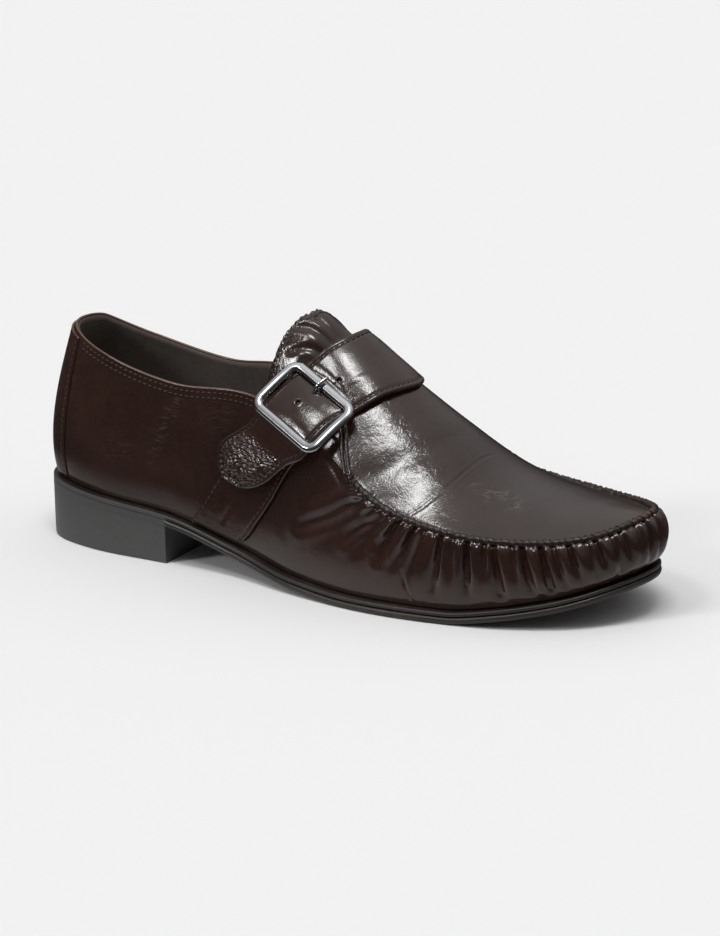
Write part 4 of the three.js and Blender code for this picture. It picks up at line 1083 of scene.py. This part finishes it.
insolePiece = {"inset": 6.6, "thick": 2.2, "crown": 0.8, "rows": 120, "across": 30, "endGap": 0.04, "crackle": 0.3,
               "rimOut": 0.2}
insoleRows = np.linspace(insolePiece["endGap"], toeRow - insolePiece["endGap"], insolePiece["rows"])
insoleRow, insoleSide = np.meshgrid(insoleRows, np.linspace(0, 1, insolePiece["across"]), indexing="ij")
outerEdge, _ = soleEdge(insoleRow, np.full(insoleRow.shape, insolePiece["inset"]))
innerEdge, _ = soleEdge(ringCount - insoleRow, np.full(insoleRow.shape, insolePiece["inset"]))
insolePoints = outerEdge + (innerEdge - outerEdge) * insoleSide[..., None]
insolePoints[..., 2] = (soleUnder(insolePoints[..., 0]) + lastForm["soleStack"] + insolePiece["thick"]
                        + insolePiece["crown"] * np.abs(2 * insoleSide - 1) ** 2)
insole, _, _ = sheetShell("insole_sock", insolePoints, 0, -insolePiece["thick"], liningLeather,
                          {"crackle": np.full(insoleRow.shape, insolePiece["crackle"])}, rimOut=insolePiece["rimOut"])
finishPiece(insole, "lining_leather", "insole")
print("soles, heel and insole made")


# Buckle frame, centre bar and prong
def frameLoop():
    width, length, radius = (bucklePiece[k] for k in ("width", "length", "cornerRadius"))
    corners = [(1, 1), (-1, 1), (-1, -1), (1, -1)]
    loop = []
    for quarter, (signX, signY) in enumerate(corners):
        centre = np.array([signX * (width / 2 - radius), signY * (length / 2 - radius)])
        nextX, nextY = corners[(quarter + 1) % 4]
        following = np.array([nextX * (width / 2 - radius), nextY * (length / 2 - radius)])
        for i in range(bucklePiece["cornerSteps"] + 1):
            angle = (quarter + i / bucklePiece["cornerSteps"]) * math.pi / 2
            loop.append((centre, np.array([math.cos(angle), math.sin(angle)])))
        out = loop[-1][1]
        for i in range(1, bucklePiece["sideSteps"]):
            loop.append((centre + (following - centre) * i / bucklePiece["sideSteps"], out))
    return loop


def roundBar(line, radius, sides=10):
    # Rings round a line given as across, along and height on the buckle
    tangent = unit(np.gradient(line, axis=0))
    sideways = np.cross(np.array([0, 0, 1.0]), tangent)
    flat = np.linalg.norm(sideways, axis=1) < 1e-3
    sideways[flat] = (1, 0, 0)
    sideways = unit(sideways)
    upright = np.cross(tangent, sideways)
    angle = np.arange(sides) * 2 * np.pi / sides
    radius = np.broadcast_to(radius, len(line))
    rings = (line[:, None] + sideways[:, None] * (np.cos(angle) * radius[:, None])[..., None]
             + upright[:, None] * (np.sin(angle) * radius[:, None])[..., None])
    ids = np.arange(len(line) * sides).reshape(len(line), sides)
    faces = quadsOf(np.concatenate([ids, ids[:, :1]], 1))[:, ::-1].tolist()
    faces += [ids[0][::-1].tolist(), ids[-1].tolist()]
    return onBuckle(rings[..., 0], rings[..., 1], rings[..., 2]).reshape(-1, 3), faces


halfThick, barWidth = bucklePiece["barThick"] / 2, bucklePiece["barWidth"]
barSection = np.array([  # share of the bar's width, share of half its thickness
    (0, -0.6), (0.06, -0.85), (0.14, -1), (0.86, -1), (0.94, -0.85), (1, -0.6), (1, 0.1), (0.97, 0.36), (0.86, 0.74),
    (0.78, 0.92), (0.7, 1), (0.34, 1), (0.26, 0.94), (0.14, 0.7), (0.04, 0.34), (0, 0.1)]) * (barWidth, halfThick)
framePoints = []
for centre, out in frameLoop():
    spot = centre + out * (bucklePiece["cornerRadius"] - barSection[:, :1])
    framePoints.append(onBuckle(spot[:, 0] + bucklePiece["shift"], spot[:, 1], barSection[:, 1]))
frameIds = np.arange(len(framePoints) * len(barSection)).reshape(len(framePoints), -1)
frameIds = np.concatenate([frameIds, frameIds[:1]])
frameIds = np.concatenate([frameIds, frameIds[:, :1]], 1)
frameFaces = quadsOf(frameIds)[:, ::-1].tolist()
# Centre bar as a staple, in shares of its reach and depth
halfStaple = np.array([(1, 0, 0), (1, 0, 0.4), (1, 0, 0.75), (0.97, 0, 0.92), (0.9, 0, 1)])
staple = np.concatenate([halfStaple * (-1, 1, 1), [(0, 0, 1)], halfStaple[::-1]])
staple = staple * (bucklePiece["centreHalf"], 0, -bucklePiece["centreDepth"]) + (bucklePiece["shift"], 0, 0)
barPoints, barFaces = roundBar(staple, bucklePiece["centreBar"], bucklePiece["centreSides"])
framePoints = np.concatenate(framePoints)
barFaces = [[k + len(framePoints) for k in face] for face in barFaces]
buckle = makeObject("buckle_frame", np.concatenate([framePoints, barPoints]), frameFaces + barFaces, buckleMetal,
                    sharpAngle=50)
finishPiece(buckle, "buckle_metal", "buckle")

prongPiece = {"across": -0.5, "radius": 0.95, "stops": 26, "tip": (0.85, 0.5), "smoothLevels": 1,
              "line": ((1.7, -5.5), (4.8, -5.2), (7, -3), (8.3, 0.6), (11, 2.7), (14.8, 2.5), (15.4, 2.3))}
prongStops = polyline(prongPiece["line"], prongPiece["stops"])
prongLine = np.column_stack([np.full(len(prongStops), prongPiece["across"]), prongStops])
prongRadius = prongPiece["radius"] * np.concatenate([np.ones(len(prongStops) - 2), prongPiece["tip"]])
prongPoints, prongFaces = roundBar(prongLine, prongRadius)
prong = makeObject("prong_pin", prongPoints, prongFaces, buckleMetal)
smoother = prong.modifiers.new("smoother", "SUBSURF")
smoother.levels = smoother.render_levels = prongPiece["smoothLevels"]
finishPiece(prong, "buckle_metal", "buckle_prong")
print("buckle made")


# Stitches: Geometry Nodes rows along marked lines
def stitchTree(name, wraps):
    tree = bpy.data.node_groups.new(name, "GeometryNodeTree")
    tree.is_modifier = True
    tree.interface.new_socket("Geometry", in_out="INPUT", socket_type="NodeSocketGeometry")
    for label, value in (("Pitch", 0.003), ("Length", 0.0022), ("Thread", 0.0003), ("Slant", 0.0)):
        tree.interface.new_socket(label, in_out="INPUT", socket_type="NodeSocketFloat").default_value = value
    tree.interface.new_socket("Material", in_out="INPUT", socket_type="NodeSocketMaterial")
    tree.interface.new_socket("Geometry", in_out="OUTPUT", socket_type="NodeSocketGeometry")
    given, result = tree.nodes.new("NodeGroupInput"), tree.nodes.new("NodeGroupOutput")
    toCurve = addNode(tree, "GeometryNodeMeshToCurve", {0: given.outputs["Geometry"]})
    spaced = addNode(tree, "GeometryNodeResampleCurve", {"Curve": toCurve.outputs[0],
                                                         "Length": given.outputs["Pitch"]}, mode="LENGTH")
    if wraps:  # a thread laid over the roll, from one side of it to the other
        arch = addNode(tree, "GeometryNodeCurveArc", {
            "Resolution": 8, "Radius": given.outputs["Length"], "Start Angle": math.radians(-8),
            "Sweep Angle": math.radians(196)})
        ring = addNode(tree, "GeometryNodeCurvePrimitiveCircle", {"Resolution": 5, "Radius": given.outputs["Thread"]})
        threadMesh = addNode(tree, "GeometryNodeCurveToMesh", {
            "Curve": arch.outputs[0], "Profile Curve": ring.outputs[0], "Fill Caps": True})
        quarterTurn = mathOut(tree, "ADD", given.outputs["Slant"], math.radians(90))
        turn = addNode(tree, "ShaderNodeCombineXYZ", {"X": math.radians(90), "Y": 0.0, "Z": quarterTurn})
        shape = addNode(tree, "GeometryNodeTransform", {"Geometry": threadMesh.outputs[0],
                                                        "Rotation": turn.outputs[0]})
    else:
        bead = addNode(tree, "GeometryNodeMeshUVSphere", {"Segments": 7, "Rings": 6, "Radius": 1.0})
        halfLength = mathOut(tree, "MULTIPLY", given.outputs["Length"], 0.5)
        size = addNode(tree, "ShaderNodeCombineXYZ", {"X": halfLength, "Y": given.outputs["Thread"],
                                                      "Z": given.outputs["Thread"]})
        turn = addNode(tree, "ShaderNodeCombineXYZ", {"Z": given.outputs["Slant"]})
        shape = addNode(tree, "GeometryNodeTransform", {"Geometry": bead.outputs[0], "Rotation": turn.outputs[0],
                                                        "Scale": size.outputs[0]})
    upward = addNode(tree, "GeometryNodeInputNamedAttribute", {"Name": "up"}, data_type="FLOAT_VECTOR")
    tangent = addNode(tree, "GeometryNodeInputTangent")
    facing = addNode(tree, "FunctionNodeAxesToRotation", {0: upward.outputs[0], 1: tangent.outputs[0]},
                     primary_axis="Z", secondary_axis="X")
    rows = addNode(tree, "GeometryNodeInstanceOnPoints", {"Points": spaced.outputs[0], "Instance": shape.outputs[0],
                                                          "Rotation": facing.outputs[0]})
    real = addNode(tree, "GeometryNodeRealizeInstances", {0: rows.outputs[0]})
    dressed = addNode(tree, "GeometryNodeSetMaterial", {"Geometry": real.outputs[0],
                                                        "Material": given.outputs["Material"]})
    tree.links.new(dressed.outputs[0], result.inputs[0])
    return tree


runningStitch, whipStitch = stitchTree("runningStitch", False), stitchTree("whipStitch", True)


def stitchRows(name, lines, tree, slot, thread=waxedThread, **sizes):
    points, edges, ups, count = [], [], [], 0
    for line, up in lines:
        points.append(line)
        ups.append(up)
        edges += [(count + i, count + i + 1) for i in range(len(line) - 1)]
        count += len(line)
    guide = bpy.data.meshes.new(name + "_guide")
    guide.from_pydata(toFrame(np.concatenate(points)).tolist(), edges, [])
    marker = guide.attributes.new("up", "FLOAT_VECTOR", "POINT")
    marker.data.foreach_set("vector", np.concatenate(ups).astype(np.float32).ravel())
    carrier = bpy.data.objects.new(name + "_guide", guide)
    bpy.context.scene.collection.objects.link(carrier)
    sewing = carrier.modifiers.new("sewing", "NODES")
    sewing.node_group = tree
    sockets = {item.name: item.identifier for item in tree.interface.items_tree if item.in_out == "INPUT"}
    for label, value in {**sizes, "Material": thread}.items():
        sewing[sockets[label]] = value
    bpy.context.view_layer.update()
    evaluated = carrier.evaluated_get(bpy.context.evaluated_depsgraph_get())
    sewn = bpy.data.meshes.new_from_object(evaluated)
    carrier.modifiers.remove(sewing)
    bpy.data.objects.remove(carrier)
    sewn.name = name
    sewn.shade_smooth()
    piece = bpy.data.objects.new(name, sewn)
    bpy.context.scene.collection.objects.link(piece)
    finishPiece(piece, slot)
    print(name, len(sewn.polygons))
    return piece


threadLift = 0.08


def insetRows(outer, normal, sides, inset, inwardSign, lift=threadLift, ease=5):
    # A line kept inside an edge of a piece and laid on its surface
    edge, up = boundary(outer, sides), boundary(normal, sides)
    smoothEdge = edge.copy()
    for _ in range(ease):
        smoothEdge[1:-1] = (smoothEdge[:-2] + 2 * smoothEdge[1:-1] + smoothEdge[2:]) / 4
    tangent = unit(np.gradient(smoothEdge, axis=0))
    inward = unit(np.cross(up, tangent)) * inwardSign
    line = smoothEdge + inward * inset
    flat, flatUp = outer.reshape(-1, 3), normal.reshape(-1, 3)
    laid, ups = [], []
    for spot in line:
        k = np.argmin(np.sum((flat - spot) ** 2, 1))
        laid.append(spot - flatUp[k] * ((spot - flat[k]) @ flatUp[k] - lift))
        ups.append(flatUp[k])
    return np.array(laid), np.array(ups)


collarStitch = {"rows": (2.2, 4.6), "from": 1.5, "to": 4.22, "columns": 160, "probes": 10,
                "sizes": {"Pitch": 0.0027, "Length": 0.0021, "Thread": 0.00032, "Slant": 0.12}}
collarLines = []
for below in collarStitch["rows"]:
    for mirrored in (False, True):
        u = np.linspace(collarStitch["from"], collarStitch["to"], collarStitch["columns"])
        u = ringCount - u if mirrored else u
        topPiece = wall(u, np.full(u.shape, 1.0)) - wall(u, np.full(u.shape, 1 - 1 / collarStitch["probes"]))
        v = 1 - below / (np.linalg.norm(topPiece, axis=-1) * collarStitch["probes"])
        step = lastForm["rowStep"]
        up = unit(np.cross(wall(u + step, v) - wall(u - step, v), wall(u, v + step) - wall(u, v - step)))
        collarLines.append((wall(u, v) + up * threadLift, up))
stitchRows("collar_stitches", collarLines, runningStitch, "upper_leather", **collarStitch["sizes"])

strapThread = {"Pitch": 0.0029, "Length": 0.0022, "Thread": 0.00034, "Slant": 0.1}
bandThread = {**strapThread, "Thread": 0.00032}
stayThread = {"Pitch": 0.0026, "Length": 0.002, "Thread": 0.0003, "Slant": 0.1}
stayInset, stayLift = stayPiece["stitchInset"], stayPiece["stitchLift"]
edgeStitches = {  # slot, lines, sizes
    "strap_stitches": ("strap_leather", [
        insetRows(strapOuter, strapNormal, ("rear", "end", "-front"), strapPiece["stitchInset"], 1)], strapThread),
    "saddle_stitches": ("strap_leather", [
        insetRows(bandOuter, bandNormal, ("front",), bandPiece["stitchInset"], -1),
        insetRows(bandOuter, bandNormal, ("rear",), bandPiece["rearInset"], 1)], bandThread),
    "backstay_stitches": ("upper_leather", [
        insetRows(stayOuter, stayNormal, ("start",), stayInset, -1, stayLift),
        insetRows(stayOuter, stayNormal, ("end",), stayInset, 1, stayLift)], stayThread),
    "tongue_stitches": ("upper_leather", [
        insetRows(tongueOuter, tongueNormal, ("-rear", "start", "front"), tonguePiece["stitchInset"], -1)],
        strapThread),
}
for name, (slot, lines, sizes) in edgeStitches.items():
    stitchRows(name, lines, runningStitch, slot, **sizes)

# Two whip stitches for every gather, laid over the roll
whipPiece = {"endGap": 3, "step": 0.4, "Length": 0.00162, "Thread": 0.00042, "Slant": 0.5}
whipArc = np.arange(rollLow + whipPiece["endGap"], rollHigh - whipPiece["endGap"], whipPiece["step"])
whipU = np.interp(whipArc, arcAt, arcRows)
_, whipUp = seamFrame(whipU)
whipLine = rollCentre(whipU, whipUp, np.interp(whipArc, rollArc, rollSize))
stitchRows("seam_stitches", [(whipLine, whipUp)], whipStitch, "upper_leather", darkThread,
           Pitch=gather["pitch"] / 2 / 1000, **{key: whipPiece[key] for key in ("Length", "Thread", "Slant")})

# Floor, light and camera
stagePlan = {"floorHalf": 14.0, "floorColour": 0.885, "floorRoughness": 0.7, "far": 0.04, "nearReach": 0.045,
             "farReach": 0.135, "shoeShape": (0.5, 1, 1), "pale": 0.88, "behind": 0.6,
             "sky": ((0.0, 0.03), (0.2, 0.1), (0.45, 0.265), (0.7, 0.44), (0.85, 0.51), (1.0, 0.66))}
floorHalf = stagePlan["floorHalf"]
floorMesh = bpy.data.meshes.new("floor")
floorMesh.from_pydata([(-floorHalf, -floorHalf, 0), (floorHalf, -floorHalf, 0), (floorHalf, floorHalf, 0),
                       (-floorHalf, floorHalf, 0)], [], [(0, 1, 2, 3)])
floor = bpy.data.objects.new("floor", floorMesh)
bpy.context.scene.collection.objects.link(floor)
floorMaterial = bpy.data.materials.new("paleFloor")
floorMaterial.use_nodes = True
floorTree = floorMaterial.node_tree
floorShader = floorTree.nodes["Principled BSDF"]
onFloor = addNode(floorTree, "ShaderNodeTexCoord").outputs["Object"]
aroundShoe = addNode(floorTree, "ShaderNodeMapping", {"Vector": onFloor, "Scale": stagePlan["shoeShape"]}).outputs[0]
fromShoe = addNode(floorTree, "ShaderNodeVectorMath", {0: aroundShoe}, operation="LENGTH").outputs["Value"]
# In reflections only, the floor is painted bright close to the shoe and dark further off: a painted pool of light
# seen in the shoe
mirrored = addNode(floorTree, "ShaderNodeLightPath").outputs["Is Glossy Ray"]
reflectedPoolFade = mapRange(floorTree, fromShoe, stagePlan["nearReach"], stagePlan["farReach"], 0.0, 1.0 - stagePlan["far"])
lit = mathOut(floorTree, "SUBTRACT", 1.0, mathOut(floorTree, "MULTIPLY", reflectedPoolFade, mirrored))
floorTone = mathOut(floorTree, "MULTIPLY", lit, stagePlan["floorColour"])
floorTree.links.new(floorTone, floorShader.inputs["Base Color"])
floorShader.inputs["Roughness"].default_value = stagePlan["floorRoughness"]
floorShader.inputs["Specular IOR Level"].default_value = 0.0
floorMesh.materials.append(floorMaterial)

lightPlan = {  # towards, strength, narrowness
    "glow": ((0.08, -0.25, 0.965), 0.8, 20.0), "front": ((0.21, -0.215, 0.953), 20.0, 250.0),
    "middle": ((0.03, -0.25, 0.968), 20.0, 250.0), "rear": ((-0.22, -0.5, 0.84), 20.0, 300.0),
    "side": ((-0.5, -0.72, 0.48), 36.0, 330.0)}
studio = bpy.data.worlds.new("studio")
bpy.context.scene.world = studio
studio.use_nodes = True
skyTree = studio.node_tree
skyTree.nodes.clear()
direction = addNode(skyTree, "ShaderNodeTexCoord").outputs["Generated"]
parts = addNode(skyTree, "ShaderNodeSeparateXYZ", {0: direction})
ramp = addNode(skyTree, "ShaderNodeValToRGB", {0: parts.outputs["Z"]})
while len(ramp.color_ramp.elements) < len(stagePlan["sky"]):
    ramp.color_ramp.elements.new(0.5)
for element, (at, value) in zip(ramp.color_ramp.elements, stagePlan["sky"]):
    element.position = at
    element.color = (value, value, value, 1)
fromBehind = mathOut(skyTree, "MULTIPLY_ADD", parts.outputs["Y"], stagePlan["behind"], 1.0)
skyLight = mathOut(skyTree, "MULTIPLY", ramp.outputs[0], fromBehind)
for axis, strength, narrowness in lightPlan.values():  # soft lights almost overhead, side by side along the shoe
    facing = addNode(skyTree, "ShaderNodeVectorMath", {0: direction, 1: Vector(axis).normalized()},
                     operation="DOT_PRODUCT")
    lobe = mathOut(skyTree, "POWER", mathOut(skyTree, "MAXIMUM", facing.outputs["Value"], 0.0), narrowness)
    skyLight = mathOut(skyTree, "MULTIPLY_ADD", lobe, strength, skyLight)
glow = addNode(skyTree, "ShaderNodeBackground", {"Color": skyLight, "Strength": 1.0})
backdrop = addNode(skyTree, "ShaderNodeBackground", {"Color": (stagePlan["pale"],) * 3 + (1,), "Strength": 1.0})
seen = addNode(skyTree, "ShaderNodeLightPath").outputs["Is Camera Ray"]
sky = addNode(skyTree, "ShaderNodeMixShader", {0: seen, 1: glow.outputs[0], 2: backdrop.outputs[0]})
addNode(skyTree, "ShaderNodeOutputWorld", {0: sky.outputs[0]})

cameraPlan = {"azimuth": 27.51, "elevation": 15.24, "distance": 2009.4, "target": (150, 0, 45),
              "offset": (39.07, 51.37), "aim": (154, 2.5, 46.4), "scale": 2.25, "imageHeight": 936, "sensor": 36.0}
azimuth, elevation = math.radians(cameraPlan["azimuth"]), math.radians(cameraPlan["elevation"])
level = math.cos(elevation)
back = np.array([math.sin(azimuth) * level, -math.cos(azimuth) * level, math.sin(elevation)])
right = np.array([math.cos(azimuth), math.sin(azimuth), 0])
up = np.cross(back, right)
offRight, offUp = cameraPlan["offset"]
eye = np.array(cameraPlan["target"]) + right * offRight + up * offUp + back * cameraPlan["distance"]
lens = bpy.data.cameras.new("photoCamera")
lens.sensor_width = cameraPlan["sensor"]
lens.lens = cameraPlan["scale"] * cameraPlan["distance"] * cameraPlan["sensor"] / cameraPlan["imageHeight"]
camera = bpy.data.objects.new("photoCamera", lens)
camera.location = Vector(toFrame(eye))
camera.rotation_euler = Vector(np.array(cameraPlan["aim"]) - eye).to_track_quat("-Z", "Y").to_euler()
bpy.context.scene.collection.objects.link(camera)
bpy.context.scene.camera = camera
bpy.context.scene.view_settings.view_transform = "Standard"

print("scene ready")
